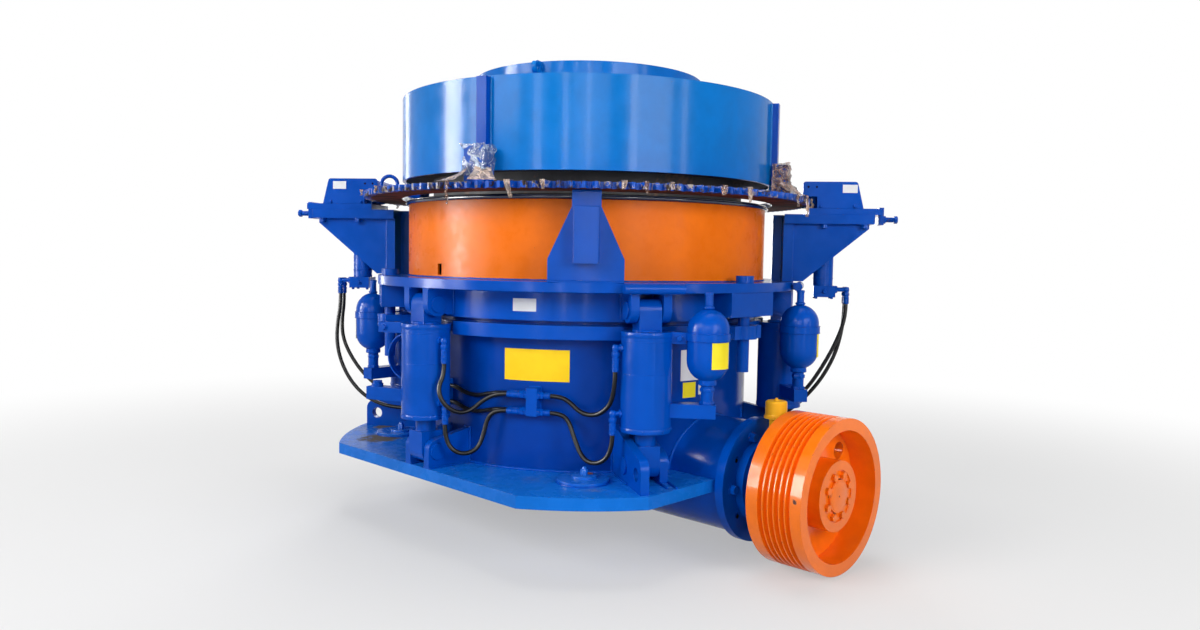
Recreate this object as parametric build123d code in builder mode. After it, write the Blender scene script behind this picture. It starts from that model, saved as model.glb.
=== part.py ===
from build123d import *
from math import atan2, cos, degrees, hypot, pi, radians, sin, sqrt, tan
import os

# Multi-cylinder cone crusher, in millimetres.
# Origin: crusher axis at the underside of the mounting flange.
# +X runs along the countershaft towards the belt pulley, +Z runs up.
# Angles are counter-clockwise from +X, seen from above.

os.makedirs("parts", exist_ok=True)

# Main frame shell and its seat rim
shell_r = 790
shell_wall = 45
shell_in = shell_r - shell_wall
rim_r = shell_r + 82
rim_t = 57
rim_top = 669
rim_bottom = rim_top - rim_t

# Mounting flange: a square plate with its corners cut to a circle
base_half = shell_r + 210
base_round_r = base_half + 190
base_t = 50
anchor_r = shell_r + 145
anchor_hole_r = 36
anchor_pad_r = 105
anchor_pad_t = 14
anchor_angles = (45, 135, 225, 315)

# Lower hub, its arms and the drive tube
hub_r = 280
hub_neck_r = 250
hub_foot_r = 302
hub_foot_t = 36
hub_bottom = -160
hub_top = 400
arm_w = 110
arm_top = 300
arm_end_top = 230
hub_shoulder = arm_top
shaft_z = 22
tube_r = 240
tube_wall = 70

# Adjustment ring
ring_body_r = shell_r + 90
ring_flange_r = ring_body_r + 130
ring_flange_t = 40
ring_gap = 19
ring_bottom = rim_top + ring_gap
ring_h = 162
ring_top = ring_bottom + ring_h
ring_bore_r = ring_body_r - 128
seat_r = ring_body_r - 45
thread_land = 45
thread_relief = 6
thread_gap = 0.3
land_lift = 30
flange_bottom = ring_top - ring_flange_t

# Guide pins and the lobes they pass through
guide_angles = (0, 120, 240)
guide_r = ring_body_r + 75
guide_pin_r = 25
guide_collar_r = 38
guide_collar_t = 30
guide_lobe_w = 300
guide_lobe_r = guide_r + 45
guide_lobe_bottom = ring_bottom + 20
guide_ear_w = 190
guide_pin_bottom = rim_bottom - 142

# Tramp release cylinders
cyl_angles = (30, 90, 150, 210, 270, 330)
cyl_r = ring_body_r + 76
barrel_r = 102.5
barrel_len = 401
upper_pin_z = ring_top - 108
lower_pin_z = base_t + 70
barrel_top = upper_pin_z - 84
barrel_bottom = barrel_top - barrel_len
pin_r = 30
pin_cap_r = 35
pin_cap_t = 8
lug_out = 85
lug_t = 35
lug_in = lug_out - lug_t
lug_round = 44
lug_rise = 90
eye_half = 47
eye_r = 52
rod_r = 42
rod_insert = 165
rod_room = 12
eye_block_h = 82
top_eye_r = 44
slip = 0.05
barrel_room = 10
long_lug_end = cyl_r + 209
long_lug_top = base_t + 125
long_lug_rise = base_t + 215
lift_hole_back = 60
lift_hole_r = 27
lift_hole_z = base_t + 67

# Accumulators beside the cylinders, in pairs around each guide pin
acc_sign = {330: 1, 30: -1, 90: 1, 150: -1, 210: 1, 270: -1}
bare_arm_angle = 270
acc_out = 97
acc_side = 223
acc_reach = hypot(acc_out, acc_side)
acc_r = 84
acc_h = 289
acc_top = ring_top - 98
acc_bottom = acc_top - acc_h
acc_band_z = acc_top - 110
acc_band_h = 30
acc_band_t = 5
acc_neck_r = 20
acc_stem_r = 16
acc_stem_h = 64
hex_r = 25
collar_r = 35
collar_h = 12
oil_block_w = 62
oil_block_h = 56
oil_block_top = acc_bottom - 89
oil_block_end = 36
clamp_w = 50
clamp_bottom = barrel_top - 46
bare_clamp_end = 221
bare_stub_h = 12
strap_bulge = 76
strap_w = 36
strap_t = 6
strap_drop = 200

# Adjustment drive ring
gear_module = 15
gear_pitch_aim = ring_flange_r + 55
gear_teeth = 2 * round(gear_pitch_aim / gear_module)
pinion_teeth = 12
pressure_angle = 20
tooth_shift = 0.3
backlash = 1.0
gear_bottom = ring_top + 359
gear_t = 26
gear_top = gear_bottom + gear_t
gear_land = 165
pitch_r = gear_module * gear_teeth / 2
pinion_pitch_r = gear_module * pinion_teeth / 2
drive_r = pitch_r + pinion_pitch_r
gear_bore_r = pitch_r - gear_land
pinion_h = 60
pinion_hub_r = 45
pinion_hub_h = 6

# Drive brackets
drive_angle = 38
drive_angles = {"right": drive_angle, "left": drive_angle + 180}
post_out = ring_flange_r - 14
post_t = 44
post_in = post_out - post_t
post_half = 100
post_rib_reach = 44
post_rib_t = 24
table_t = 44
table_top = gear_bottom - 42
table_bottom = table_top - table_t
table_out = drive_r + 215
table_half = 122
slide_t = 29
slide_top = table_top + slide_t
slide_in = drive_r - 89
slide_reach = 30
slide_end_t = 22
slide_end_half = 55
gusset_off = 80
gusset_t = 20
gusset_foot = 53
gusset_nose = 21
seat_hole_r = 62
seat_gap = 0.5
screw_r = 11
screw_len = 75
screw_z = table_top - 17

# Guards over the pinions
guard_in = drive_r - 120
guard_out = drive_r + 161
guard_lean = 30
guard_h = 124
guard_half = 119
guard_t = 4
guard_round = 14
guard_notch_end = drive_r - 53
guard_notch_room = 15

# Drive motors under the brackets
motor_r = 47
motor_flange_r = 64
motor_flange_t = 30
motor_h = 293
motor_box_h = 55
motor_box_in = 49
motor_box_out = 55
motor_box_half = 48

# Dust shell, cap drum and hopper
dust_r = ring_body_r - 13
dust_t = 10
dust_top = gear_bottom - 14
notch_angle = 268
notch_w = 30
notch_lift = 12
notch_h = 48
drum_r = dust_r + 30
drum_t = 16
drum_gap = 58
drum_bottom = gear_top + drum_gap
drum_h = 380
drum_top = drum_bottom + drum_h
deck_t = 16
deck_drop = 60
foot_t = 25
foot_lift = 10
foot_in = ring_bore_r - 52
hopper_r = 549
hopper_t = 16
hopper_rise = 122
hopper_drop = 300
hopper_top = drum_top + hopper_rise
hopper_lug_angle = 291.5
hopper_lug_r = 28
hopper_lug_t = 20
hopper_lug_hole_r = 14
bar_angles = (26.6, 107.3, 206.6, 287.3)
bar_half = 24
bar_out = 31
bar_gap = 5
bar_lift = 25
dog_in = drum_r + 8
dog_out = drum_r + 80
dog_half = 48
dog_h = 150
bar_room = 6
eye_angles = (225, 100)
eye_ring_r = 39
eye_wire_r = 9
eye_at = gear_bore_r + 80
eye_rise = 58
eye_foot_r = 26
eye_foot_t = 9

# Ring supports between the two drives
support_angles = (135, 315)
support_in = ring_flange_r - 45
support_t = 35
support_foot = 150
support_half = 57
support_foot_h = 90
support_neck_h = 294
support_box_half = 47
support_box_out = 55
support_box_low = 73
support_box_high = 291

# Countershaft box and belt pulley
box_flange_r = 262
box_flange_in = base_half + 18
box_flange_t = 40
box_flange_out = box_flange_in + box_flange_t
box_hole_pcr = 201
box_hole_r = 11
box_hole_first = 146.5
cover_r = 178
cover_step_r = 150
cover_t = 38
cover_len = 107
breather_at = box_flange_out + 72
breather_r = 45
breather_skirt_r = 50
breather_neck_r = 28
breather_bottom = 294
breather_h = 73
breather_round = 9
shaft_r = 66
pulley_r = 312
pulley_rim_in = 264
pulley_in = box_flange_out + 147
pulley_w = 244
pulley_out = pulley_in + pulley_w
groove_count = 6
groove_pitch = 25
groove_deep = 19
groove_top = 10
groove_root = 4
rear_land = 50
web_t = 40
web_back = 95
hub_back = 35
hub_face_drop = 21
pulley_hub_r = 142
web_hole_r = 36
web_hole_at = 209
bush_r = 104
bush_drop = 6
shaft_end_out = 4
shaft_in = 80

# Lifting bars on the rim of the ring
lift_bar_angles = (30, 150, 210, 330)
lift_bar_r = 20
lift_bar_at = ring_flange_r + 27
lift_bar_len = 250
lift_bar_z = ring_top - 22
lift_post_w = 80
lift_post_h = 32

# Bowl, liner, mantle and head
bowl_r = ring_bore_r - thread_gap
bowl_wall = 60
bowl_neck = 46
bowl_lift_gap = 10
neck_rise = 200
liner_t = 50
liner_lean = 100
liner_top = ring_top + 330
head_top = ring_top + 270
head_skirt_r = 480
mantle_low_r = 615
mantle_top_r = 300
mantle_t = 60
mantle_belly = 102
feed_plate_r = 235
feed_plate_t = 45

# Hoses, their fittings and the blocks they end in
hose_r = 9.5
hose_ease = 0.45
hose_lead = 45
ferrule_r = 12
stub_r = 10
manifold_angle = 300
manifold_half = 24
manifold_out = shell_r + 52
manifold_rows = (375, 305)
manifold_low = 288
manifold_high = 405
front_row_r = shell_r + 38
back_row_r = shell_r + 12
row_left_end = -110
row_right_end = 78
junction_angle = 266
junction_half = 22
junction_out = shell_r + 34
port_block_from = -20
port_block_to = 52
port_block_room = 24
motor_port_z = (215, 165)
motor_port_shift = (-6, 38)
motor_port_end = shell_r + 60
port_lead = 90
elbow_high_z = 592
elbow_low_z = 330
ferrule_high = 498
ferrule_low = 245
elbow_high_out = 27.5
elbow_low_out = 35
motor_elbow_at = drive_r + 110
motor_elbow_z = table_bottom - 311
motor_elbow_shift = (-20, 24)
motor_ferrule = 745
motor_lead = 55


def radial(az):
    """Unit vector pointing outward at angle az."""
    return Vector(cos(radians(az)), sin(radians(az)), 0)


def side(az):
    """Unit vector pointing sideways (counter-clockwise) at angle az."""
    return Vector(-sin(radians(az)), cos(radians(az)), 0)


def at(az, out, shift, z):
    """Point given by an angle, a distance outward, a sideways shift and a height."""
    return radial(az) * out + side(az) * shift + Vector(0, 0, z)


def upright(az, shift=0.0):
    """Plane through the crusher axis: local x outward, local y up."""
    return Plane(origin=side(az) * shift, x_dir=radial(az), z_dir=side(az) * -1)


def along(az, height, out=0.0):
    """The same plane with its origin set at a radius and a height."""
    return Plane(origin=at(az, out, 0, height), x_dir=radial(az), z_dir=side(az) * -1)


def facing(az, distance, height=0.0):
    """Plane across a radius: local x sideways, local y up, looking outward."""
    return Plane(origin=at(az, distance, 0, height), x_dir=side(az), z_dir=radial(az))


def level(z, az=0.0, out=0.0, shift=0.0):
    """Level plane at height z: local x outward, local y sideways."""
    return Plane(origin=at(az, out, shift, z), x_dir=radial(az), z_dir=(0, 0, 1))


def toward(start, end):
    """Plane at one point that looks towards another."""
    return Plane(origin=start, z_dir=(end - start).normalized())


def save(piece, name):
    """Label a finished piece and write its file."""
    piece.part.label = name
    export_step(piece.part, "parts/" + name + ".step")


def turned(points):
    """Revolve a closed outline of (radius, height) points about the axis."""
    with BuildSketch(Plane.XZ) as outline:
        Polygon(*points, align=None)
    revolve(outline.sketch, axis=Axis.Z)


def slab(plane, points, start, end, mode=Mode.ADD):
    """Extrude an outline on a plane between two distances along its normal."""
    with BuildSketch(plane.offset(start)) as outline:
        Polygon(*points, align=None)
    extrude(outline.sketch, amount=end - start, mode=mode)


def disc(plane, radius, start, end, mode=Mode.ADD):
    """Round bar along a plane's normal between two distances."""
    with BuildSketch(plane.offset(start)) as outline:
        Circle(radius)
    extrude(outline.sketch, amount=end - start, mode=mode)


def block(plane, x0, x1, y0, y1, start, end, mode=Mode.ADD):
    """Rectangular block on a plane between two distances along its normal."""
    with BuildSketch(plane.offset(start)) as outline:
        with Locations(((x0 + x1) / 2, (y0 + y1) / 2)):
            Rectangle(x1 - x0, y1 - y0)
    extrude(outline.sketch, amount=end - start, mode=mode)


def trim(plane, radius, start, end):
    """Cut a round bar out, so that a piece ends on a curved wall."""
    disc(plane, radius, start, end, Mode.SUBTRACT)


def rod_between(start, end, radius):
    """Round bar from one point to another."""
    disc(toward(start, end), radius, 0, (end - start).length)


def drive_tube_cut(radius):
    """Clear the room that the drive tube takes outside the hub."""
    disc(shaft_plane, radius, hub_neck_r, box_flange_in, Mode.SUBTRACT)


shaft_plane = Plane(origin=(0, 0, shaft_z), x_dir=(0, 1, 0), z_dir=(1, 0, 0))

# Mounting flange
with BuildPart() as base_flange:
    with BuildSketch():
        Circle(base_round_r)
        Rectangle(2 * base_half, 2 * base_half, mode=Mode.INTERSECT)
        Circle(shell_in, mode=Mode.SUBTRACT)
        for angle in anchor_angles:
            with Locations(radial(angle) * anchor_r):
                Circle(anchor_hole_r, mode=Mode.SUBTRACT)
    extrude(amount=base_t)
    drive_tube_cut(tube_r)
save(base_flange, "base_flange")

# Anchor pads
with BuildPart() as anchor_pads:
    for angle in anchor_angles:
        with BuildSketch(level(base_t, angle, anchor_r)):
            Circle(anchor_pad_r)
            Circle(anchor_hole_r, mode=Mode.SUBTRACT)
        extrude(amount=anchor_pad_t)
save(anchor_pads, "anchor_pads")

# Frame shell
with BuildPart() as frame_shell:
    with BuildSketch(Plane.XY.offset(base_t)):
        Circle(shell_r)
        Circle(shell_in, mode=Mode.SUBTRACT)
    extrude(amount=rim_bottom - base_t)
    drive_tube_cut(tube_r)
save(frame_shell, "frame_shell")

# Seat rim on the shell, with the ears that hold the guide pins
with BuildPart() as frame_rim:
    disc(Plane.XY, rim_r, rim_bottom, rim_top)
    for angle in guide_angles:
        block(level(0, angle), rim_r - 60, guide_r + guide_pin_r, -guide_ear_w / 2, guide_ear_w / 2,
              rim_bottom, rim_top)
        disc(level(0, angle, guide_r), guide_pin_r + 32, rim_bottom, rim_top)
        trim(level(0, angle, guide_r), guide_pin_r + slip, rim_bottom - 1, rim_top + 1)
    trim(Plane.XY, shell_in, rim_bottom - 1, rim_top + 1)
    for angle in cyl_angles:
        trim(level(0, angle, cyl_r), barrel_r + barrel_room, rim_bottom - 1, rim_top + 1)
save(frame_rim, "frame_rim")

# Lower hub
with BuildPart() as frame_hub:
    turned([(0, hub_bottom), (hub_foot_r, hub_bottom), (hub_foot_r, hub_bottom + hub_foot_t),
            (hub_r, hub_bottom + hub_foot_t), (hub_r, hub_shoulder), (hub_neck_r, hub_top), (0, hub_top)])
    disc(shaft_plane, tube_r - tube_wall, 60, hub_foot_r, Mode.SUBTRACT)
save(frame_hub, "frame_hub")

# Arms from the hub to the shell
with BuildPart() as hub_arms:
    for angle in (90, 180, 270):
        slab(upright(angle), [(hub_neck_r, base_t), (shell_r, base_t), (shell_r, arm_end_top),
                              (hub_neck_r, arm_top)], -arm_w / 2, arm_w / 2)
    trim(Plane.XY, hub_r, 0, arm_top + 1)
    with BuildSketch() as ring:
        Circle(shell_r + 10)
        Circle(shell_in, mode=Mode.SUBTRACT)
    extrude(ring.sketch, amount=arm_top, mode=Mode.SUBTRACT)
save(hub_arms, "hub_arms")

# Drive tube from the hub out through the shell
with BuildPart() as drive_tube:
    disc(shaft_plane, tube_r, 0, box_flange_in)
    disc(shaft_plane, tube_r - tube_wall, -1, box_flange_in + 1, Mode.SUBTRACT)
    trim(Plane.XY, hub_r, -tube_r, shaft_z + tube_r + 1)
    trim(Plane.XY, hub_foot_r, hub_bottom, hub_bottom + hub_foot_t)
save(drive_tube, "drive_tube")

# Countershaft box in the tube, with its bolted flange
with BuildPart() as countershaft_box:
    disc(shaft_plane, tube_r - tube_wall, 60, box_flange_in)
    disc(shaft_plane, box_flange_r, box_flange_in, box_flange_out)
    disc(shaft_plane, shaft_r + slip, 59, box_flange_out + 1, Mode.SUBTRACT)
    with BuildSketch(shaft_plane.offset(box_flange_in - 1)) as holes:
        with PolarLocations(box_hole_pcr, 5, start_angle=box_hole_first):
            Circle(box_hole_r)
    extrude(holes.sketch, amount=box_flange_t + 2, mode=Mode.SUBTRACT)
save(countershaft_box, "countershaft_box")

# Bearing cover on the end of the box
with BuildPart() as countershaft_cover:
    disc(shaft_plane, cover_r, box_flange_out, box_flange_out + cover_t)
    disc(shaft_plane, cover_step_r, box_flange_out + cover_t, box_flange_out + cover_len)
    disc(shaft_plane, shaft_r + slip, box_flange_out - 1, box_flange_out + cover_len + 1, Mode.SUBTRACT)
save(countershaft_cover, "countershaft_cover")

# Oil breather cap on top of the cover
breather_top = breather_bottom + breather_h
with BuildPart() as oil_breather:
    spot = level(0, 0, breather_at)
    disc(spot, breather_r, breather_bottom, breather_top)
    fillet(edges().filter_by(GeomType.CIRCLE).sort_by(Axis.Z)[-1], breather_round)
    disc(spot, breather_skirt_r, breather_bottom, breather_bottom + breather_round)
    disc(spot, breather_neck_r, shaft_z, breather_bottom)
    trim(shaft_plane, cover_step_r, box_flange_out + cover_t, box_flange_out + cover_len)
save(oil_breather, "oil_breather")

# Lower lugs: each cylinder stands between two plates, and four plates run on with a lifting hole
long_lugs = {(330, -1), (30, 1), (150, -1), (210, 1)}


def short_lug():
    """Plate with a rounded head over the pin."""
    end = cyl_r + lug_round
    with BuildLine() as edge:
        FilletPolyline((shell_in, base_t), (end, base_t), (end, lower_pin_z + lug_round),
                       (shell_in, lower_pin_z + lug_rise), radius=[0, lug_round - 2])
        Line((shell_in, lower_pin_z + lug_rise), (shell_in, base_t))
    make_face(edge.edges())


def long_lug():
    """Plate that runs on past the pin to its lifting hole."""
    end = long_lug_end
    with BuildLine() as edge:
        FilletPolyline((shell_in, base_t), (end, base_t), (end, long_lug_top),
                       (shell_in, long_lug_rise), radius=[0, lug_round])
        Line((shell_in, long_lug_rise), (shell_in, base_t))
    make_face(edge.edges())


with BuildPart() as lower_lugs:
    for angle in cyl_angles:
        for hand in (-1, 1):
            middle = -hand * (lug_out - lug_t / 2)
            with BuildSketch(upright(angle).offset(middle - lug_t / 2)) as plate:
                if (angle, hand) in long_lugs:
                    long_lug()
                    with Locations((long_lug_end - lift_hole_back, lift_hole_z)):
                        Circle(lift_hole_r, mode=Mode.SUBTRACT)
                else:
                    short_lug()
                with Locations((cyl_r, lower_pin_z)):
                    Circle(pin_r, mode=Mode.SUBTRACT)
            extrude(plate.sketch, amount=lug_t)
    trim(Plane.XY, shell_r, 0, ring_bottom)
save(lower_lugs, "lower_lugs")

# Lower pins with their end caps
with BuildPart() as lower_pins:
    for angle in cyl_angles:
        spot = along(angle, lower_pin_z, cyl_r)
        disc(spot, pin_r, -lug_out - pin_cap_t, lug_out + pin_cap_t)
        disc(spot, pin_cap_r, lug_out, lug_out + pin_cap_t)
        disc(spot, pin_cap_r, -lug_out - pin_cap_t, -lug_out)
save(lower_pins, "lower_pins")

# Cylinder rods with their eyes
eye_top = lower_pin_z + eye_block_h
with BuildPart() as cylinder_rods:
    for angle in cyl_angles:
        with BuildSketch(upright(angle).offset(-eye_half)) as eye:
            with Locations((cyl_r, lower_pin_z)):
                Circle(eye_r)
            with Locations((cyl_r, (lower_pin_z + eye_top) / 2)):
                Rectangle(2 * eye_r, eye_block_h)
        extrude(eye.sketch, amount=2 * eye_half)
        disc(level(0, angle, cyl_r), rod_r, eye_top, barrel_bottom + rod_insert)
        disc(along(angle, lower_pin_z, cyl_r), pin_r, -eye_half - 1, eye_half + 1, Mode.SUBTRACT)
save(cylinder_rods, "cylinder_rods")

# Adjustment ring with its guide lobes
relief_r = ring_bore_r + thread_relief
land_bottom = ring_bottom + land_lift
with BuildPart() as adjustment_ring:
    turned([(relief_r, rim_top), (seat_r, rim_top), (seat_r, ring_bottom),
            (ring_body_r, ring_bottom), (ring_body_r, flange_bottom),
            (ring_flange_r, flange_bottom), (ring_flange_r, ring_top), (ring_bore_r, ring_top),
            (ring_bore_r, ring_top - thread_land), (relief_r, ring_top - thread_land),
            (relief_r, land_bottom + thread_land), (ring_bore_r, land_bottom + thread_land),
            (ring_bore_r, land_bottom), (relief_r, land_bottom)])
    for angle in guide_angles:
        block(level(0, angle), ring_body_r - 30, guide_lobe_r, -guide_lobe_w / 2, guide_lobe_w / 2,
              guide_lobe_bottom, flange_bottom)
        disc(level(0, angle, guide_r), guide_pin_r, guide_lobe_bottom - 1, ring_top + 1, Mode.SUBTRACT)
save(adjustment_ring, "adjustment_ring")

# Guide pins
with BuildPart() as guide_pins:
    for angle in guide_angles:
        disc(level(0, angle, guide_r), guide_pin_r, guide_pin_bottom, ring_top)
        disc(level(0, angle, guide_r), guide_collar_r, ring_top, ring_top + guide_collar_t)
save(guide_pins, "guide_pins")

# Upper lugs under the ring flange
with BuildPart() as upper_lugs:
    for angle in cyl_angles:
        for start in (-lug_out, lug_in):
            with BuildSketch(upright(angle).offset(start)) as plate:
                Polygon((ring_body_r - 6, flange_bottom), (cyl_r + eye_r, flange_bottom),
                        (cyl_r + eye_r, upper_pin_z), (cyl_r - eye_r, upper_pin_z - 45),
                        (ring_body_r - 6, upper_pin_z - 45), align=None)
                with Locations((cyl_r, upper_pin_z)):
                    Circle(eye_r)
                    Circle(pin_r, mode=Mode.SUBTRACT)
            extrude(plate.sketch, amount=lug_t)
    trim(Plane.XY, ring_body_r, 0, ring_top)
save(upper_lugs, "upper_lugs")

# Upper pins with their end caps
with BuildPart() as upper_pins:
    for angle in cyl_angles:
        spot = along(angle, upper_pin_z, cyl_r)
        disc(spot, pin_r, -lug_out - pin_cap_t, lug_out + pin_cap_t)
        disc(spot, pin_cap_r, lug_out, lug_out + pin_cap_t)
        disc(spot, pin_cap_r, -lug_out - pin_cap_t, -lug_out)
save(upper_pins, "upper_pins")

# Cylinder barrels with their top eyes
with BuildPart() as cylinder_barrels:
    for angle in cyl_angles:
        disc(level(0, angle, cyl_r), barrel_r, barrel_bottom, barrel_top)
        with BuildSketch(upright(angle).offset(-eye_half)) as eye:
            with Locations((cyl_r, upper_pin_z)):
                Circle(top_eye_r)
            with Locations((cyl_r, (barrel_top + upper_pin_z) / 2 - 1)):
                Rectangle(2 * top_eye_r, upper_pin_z - barrel_top + 2)
        extrude(eye.sketch, amount=2 * eye_half)
        disc(along(angle, upper_pin_z, cyl_r), pin_r, -eye_half - 1, eye_half + 1, Mode.SUBTRACT)
        disc(level(0, angle, cyl_r), rod_r + slip, barrel_bottom - 1,
             barrel_bottom + rod_insert + rod_room, Mode.SUBTRACT)
save(cylinder_barrels, "cylinder_barrels")


def acc_plane(az, z=0.0):
    """Level plane centred on the accumulator that belongs to one cylinder."""
    return level(z, az, cyl_r + acc_out, acc_sign[az] * acc_side)


def arm_plane(az):
    """Level plane on a cylinder's axis: local x runs towards its accumulator."""
    turn = degrees(atan2(acc_sign[az] * acc_side, acc_out))
    return Plane(origin=radial(az) * cyl_r, x_dir=radial(az + turn), z_dir=(0, 0, 1))


# Accumulators with rounded ends; one cylinder has none
with BuildPart() as accumulators:
    for angle in cyl_angles:
        if angle == bare_arm_angle:
            continue
        low = acc_bottom + acc_r
        high = acc_top - acc_r
        diagonal = acc_r * sqrt(0.5)
        with BuildSketch(Plane.XZ) as outline:
            with BuildLine():
                Line((0, acc_top), (0, acc_bottom))
                ThreePointArc((0, acc_bottom), (diagonal, low - diagonal), (acc_r, low))
                Line((acc_r, low), (acc_r, high))
                ThreePointArc((acc_r, high), (diagonal, high + diagonal), (0, acc_top))
            make_face()
        body = revolve(outline.sketch, axis=Axis.Z, mode=Mode.PRIVATE)
        spot = acc_plane(angle)
        add(spot.location * body)
        disc(spot, acc_r + acc_band_t, acc_band_z - acc_band_h / 2, acc_band_z + acc_band_h / 2)
        disc(spot, acc_stem_r, acc_top - 4, acc_top + acc_stem_h)
        disc(spot, collar_r, acc_bottom - collar_h, acc_bottom + 8)
        disc(spot, hex_r, oil_block_top, acc_bottom)
save(accumulators, "accumulators")

# Oil blocks and clamp arms that carry the accumulators
with BuildPart() as accumulator_arms:
    for angle in cyl_angles:
        arm = arm_plane(angle)
        block(arm, barrel_r - 12, acc_reach + oil_block_end, -oil_block_w / 2, oil_block_w / 2,
              oil_block_top - oil_block_h, oil_block_top)
        if angle == bare_arm_angle:
            block(arm, barrel_r - 12, bare_clamp_end, -clamp_w / 2, clamp_w / 2, clamp_bottom, barrel_top)
            disc(acc_plane(angle), hex_r, oil_block_top, oil_block_top + bare_stub_h)
            disc(acc_plane(angle), acc_neck_r, oil_block_top, oil_block_top + 2 * bare_stub_h)
        else:
            block(arm, barrel_r - 12, acc_reach, -clamp_w / 2, clamp_w / 2, clamp_bottom, barrel_top)
            trim(acc_plane(angle), acc_r + acc_band_t, clamp_bottom - 1, barrel_top + 1)
        trim(level(0, angle, cyl_r), barrel_r, barrel_bottom, barrel_top)
save(accumulator_arms, "accumulator_arms")

# Bent strap that hangs under the bare clamp arm
with BuildPart() as arm_strap:
    arm = arm_plane(bare_arm_angle)
    strap = Plane(origin=arm.origin, x_dir=arm.x_dir, z_dir=arm.x_dir.cross(Vector(0, 0, 1)))
    top = clamp_bottom
    foot = clamp_bottom - strap_drop
    belly = barrel_r + strap_bulge
    middle = (top + foot) / 2
    with BuildSketch(strap.offset(-strap_w / 2)) as band:
        with BuildLine():
            ThreePointArc((barrel_r - 4, top), (belly, middle), (barrel_r - 4, foot))
            Line((barrel_r - 4, foot), (barrel_r - 4, foot + strap_t))
            ThreePointArc((barrel_r - 4, foot + strap_t), (belly - strap_t, middle), (barrel_r - 4, top - strap_t))
            Line((barrel_r - 4, top - strap_t), (barrel_r - 4, top))
        make_face()
    extrude(band.sketch, amount=strap_w)
    trim(level(0, bare_arm_angle, cyl_r), barrel_r, barrel_bottom, barrel_top)
save(arm_strap, "arm_strap")

# Orange dust shell standing on the ring, with a slot near its foot
with BuildPart() as dust_shell:
    turned([(dust_r - dust_t, ring_top), (dust_r, ring_top), (dust_r, dust_top),
            (dust_r - dust_t, dust_top)])
    block(level(0, notch_angle), dust_r - dust_t - 20, dust_r + 10, -notch_w / 2, notch_w / 2,
          ring_top + notch_lift, ring_top + notch_lift + notch_h, Mode.SUBTRACT)
save(dust_shell, "dust_shell")

# Supports that carry the drive ring between the two drives
support_neck = ring_top + support_neck_h
support_wide = ring_top + support_foot_h
with BuildPart() as ring_supports:
    for angle in support_angles:
        slab(facing(angle, support_in), [(-support_foot, ring_top), (support_foot, ring_top),
                                         (support_foot, support_wide), (support_half, support_neck),
                                         (support_half, gear_bottom), (-support_half, gear_bottom),
                                         (-support_half, support_neck), (-support_foot, support_wide)],
             0, support_t)
        block(facing(angle, support_in + support_t), -support_box_half, support_box_half,
              ring_top + support_box_low, ring_top + support_box_high, 0, support_box_out)
save(ring_supports, "ring_supports")

# Drive brackets: post, top plate, two gussets and a rib behind the post
for name, angle in drive_angles.items():
    with BuildPart() as bracket:
        spot = level(0, angle)
        block(spot, post_in, post_out, -post_half, post_half, ring_top, table_bottom)
        block(spot, post_in, table_out, -table_half, table_half, table_bottom, table_top)
        block(spot, post_in - post_rib_reach, post_in, -post_rib_t / 2, post_rib_t / 2, ring_top, table_top)
        for middle in (-gusset_off, gusset_off):
            slab(upright(angle), [(post_out, ring_top), (post_out + gusset_foot, ring_top),
                                  (table_out - 20, table_bottom - gusset_nose),
                                  (table_out - 20, table_bottom), (post_out, table_bottom)],
                 middle - gusset_t / 2, middle + gusset_t / 2)
        disc(level(0, angle, drive_r), seat_hole_r, table_bottom - 1, table_top + 1, Mode.SUBTRACT)
    save(bracket, "drive_bracket_" + name)

# Slide plates, end plates and adjusting screws of the drives
slide_out = table_out + slide_reach
with BuildPart() as slide_plates:
    for angle in drive_angles.values():
        spot = level(0, angle)
        block(spot, slide_in, slide_out, -table_half + 4, table_half - 4, table_top, slide_top)
        block(spot, slide_out, slide_out + slide_end_t, -slide_end_half, slide_end_half,
              table_bottom, slide_top + 9)
        disc(facing(angle, slide_out + slide_end_t, screw_z), screw_r, 0, screw_len)
        disc(level(0, angle, drive_r), seat_hole_r, table_top - 1, slide_top + 1, Mode.SUBTRACT)
save(slide_plates, "slide_plates")

# Guards over the pinions, open towards the drive ring
guard_top = slide_top + guard_h
with BuildPart() as pinion_guards:
    for angle in drive_angles.values():
        with BuildSketch(upright(angle).offset(-guard_half)) as shape:
            with BuildLine():
                FilletPolyline((guard_in, slide_top), (guard_in, guard_top),
                               (guard_out - guard_lean, guard_top), (guard_out, slide_top),
                               radius=[guard_round, guard_round])
                Line((guard_out, slide_top), (guard_in, slide_top))
            make_face()
        extrude(shape.sketch, amount=2 * guard_half)
        slab(upright(angle), [(guard_in + guard_t, slide_top - 1), (guard_in + guard_t, guard_top - guard_t),
                              (guard_out - guard_lean - guard_t, guard_top - guard_t),
                              (guard_out - guard_t, slide_top - 1)],
             -guard_half + guard_t, guard_half - guard_t, Mode.SUBTRACT)
        block(level(0, angle), guard_in - 1, guard_notch_end, -guard_half - 1, guard_half + 1,
              slide_top - 1, gear_top + guard_notch_room, Mode.SUBTRACT)
save(pinion_guards, "pinion_guards")

# Drive motors under the brackets
motor_bottom = table_bottom - motor_h
with BuildPart() as drive_motors:
    for angle in drive_angles.values():
        spot = level(0, angle, drive_r)
        disc(spot, seat_hole_r - seat_gap, table_bottom, slide_top)
        disc(spot, motor_flange_r, table_bottom - motor_flange_t, table_bottom)
        disc(spot, motor_r, motor_bottom, table_bottom)
        block(spot, -motor_box_in, motor_box_out, -motor_box_half, motor_box_half,
              motor_bottom - motor_box_h, motor_bottom)
save(drive_motors, "drive_motors")


def involute_angle(base, r):
    """Angle swept by an involute from its base circle out to radius r."""
    if r <= base:
        return 0.0
    swept = sqrt((r / base) ** 2 - 1)
    return swept - atan2(swept, 1)


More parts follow.
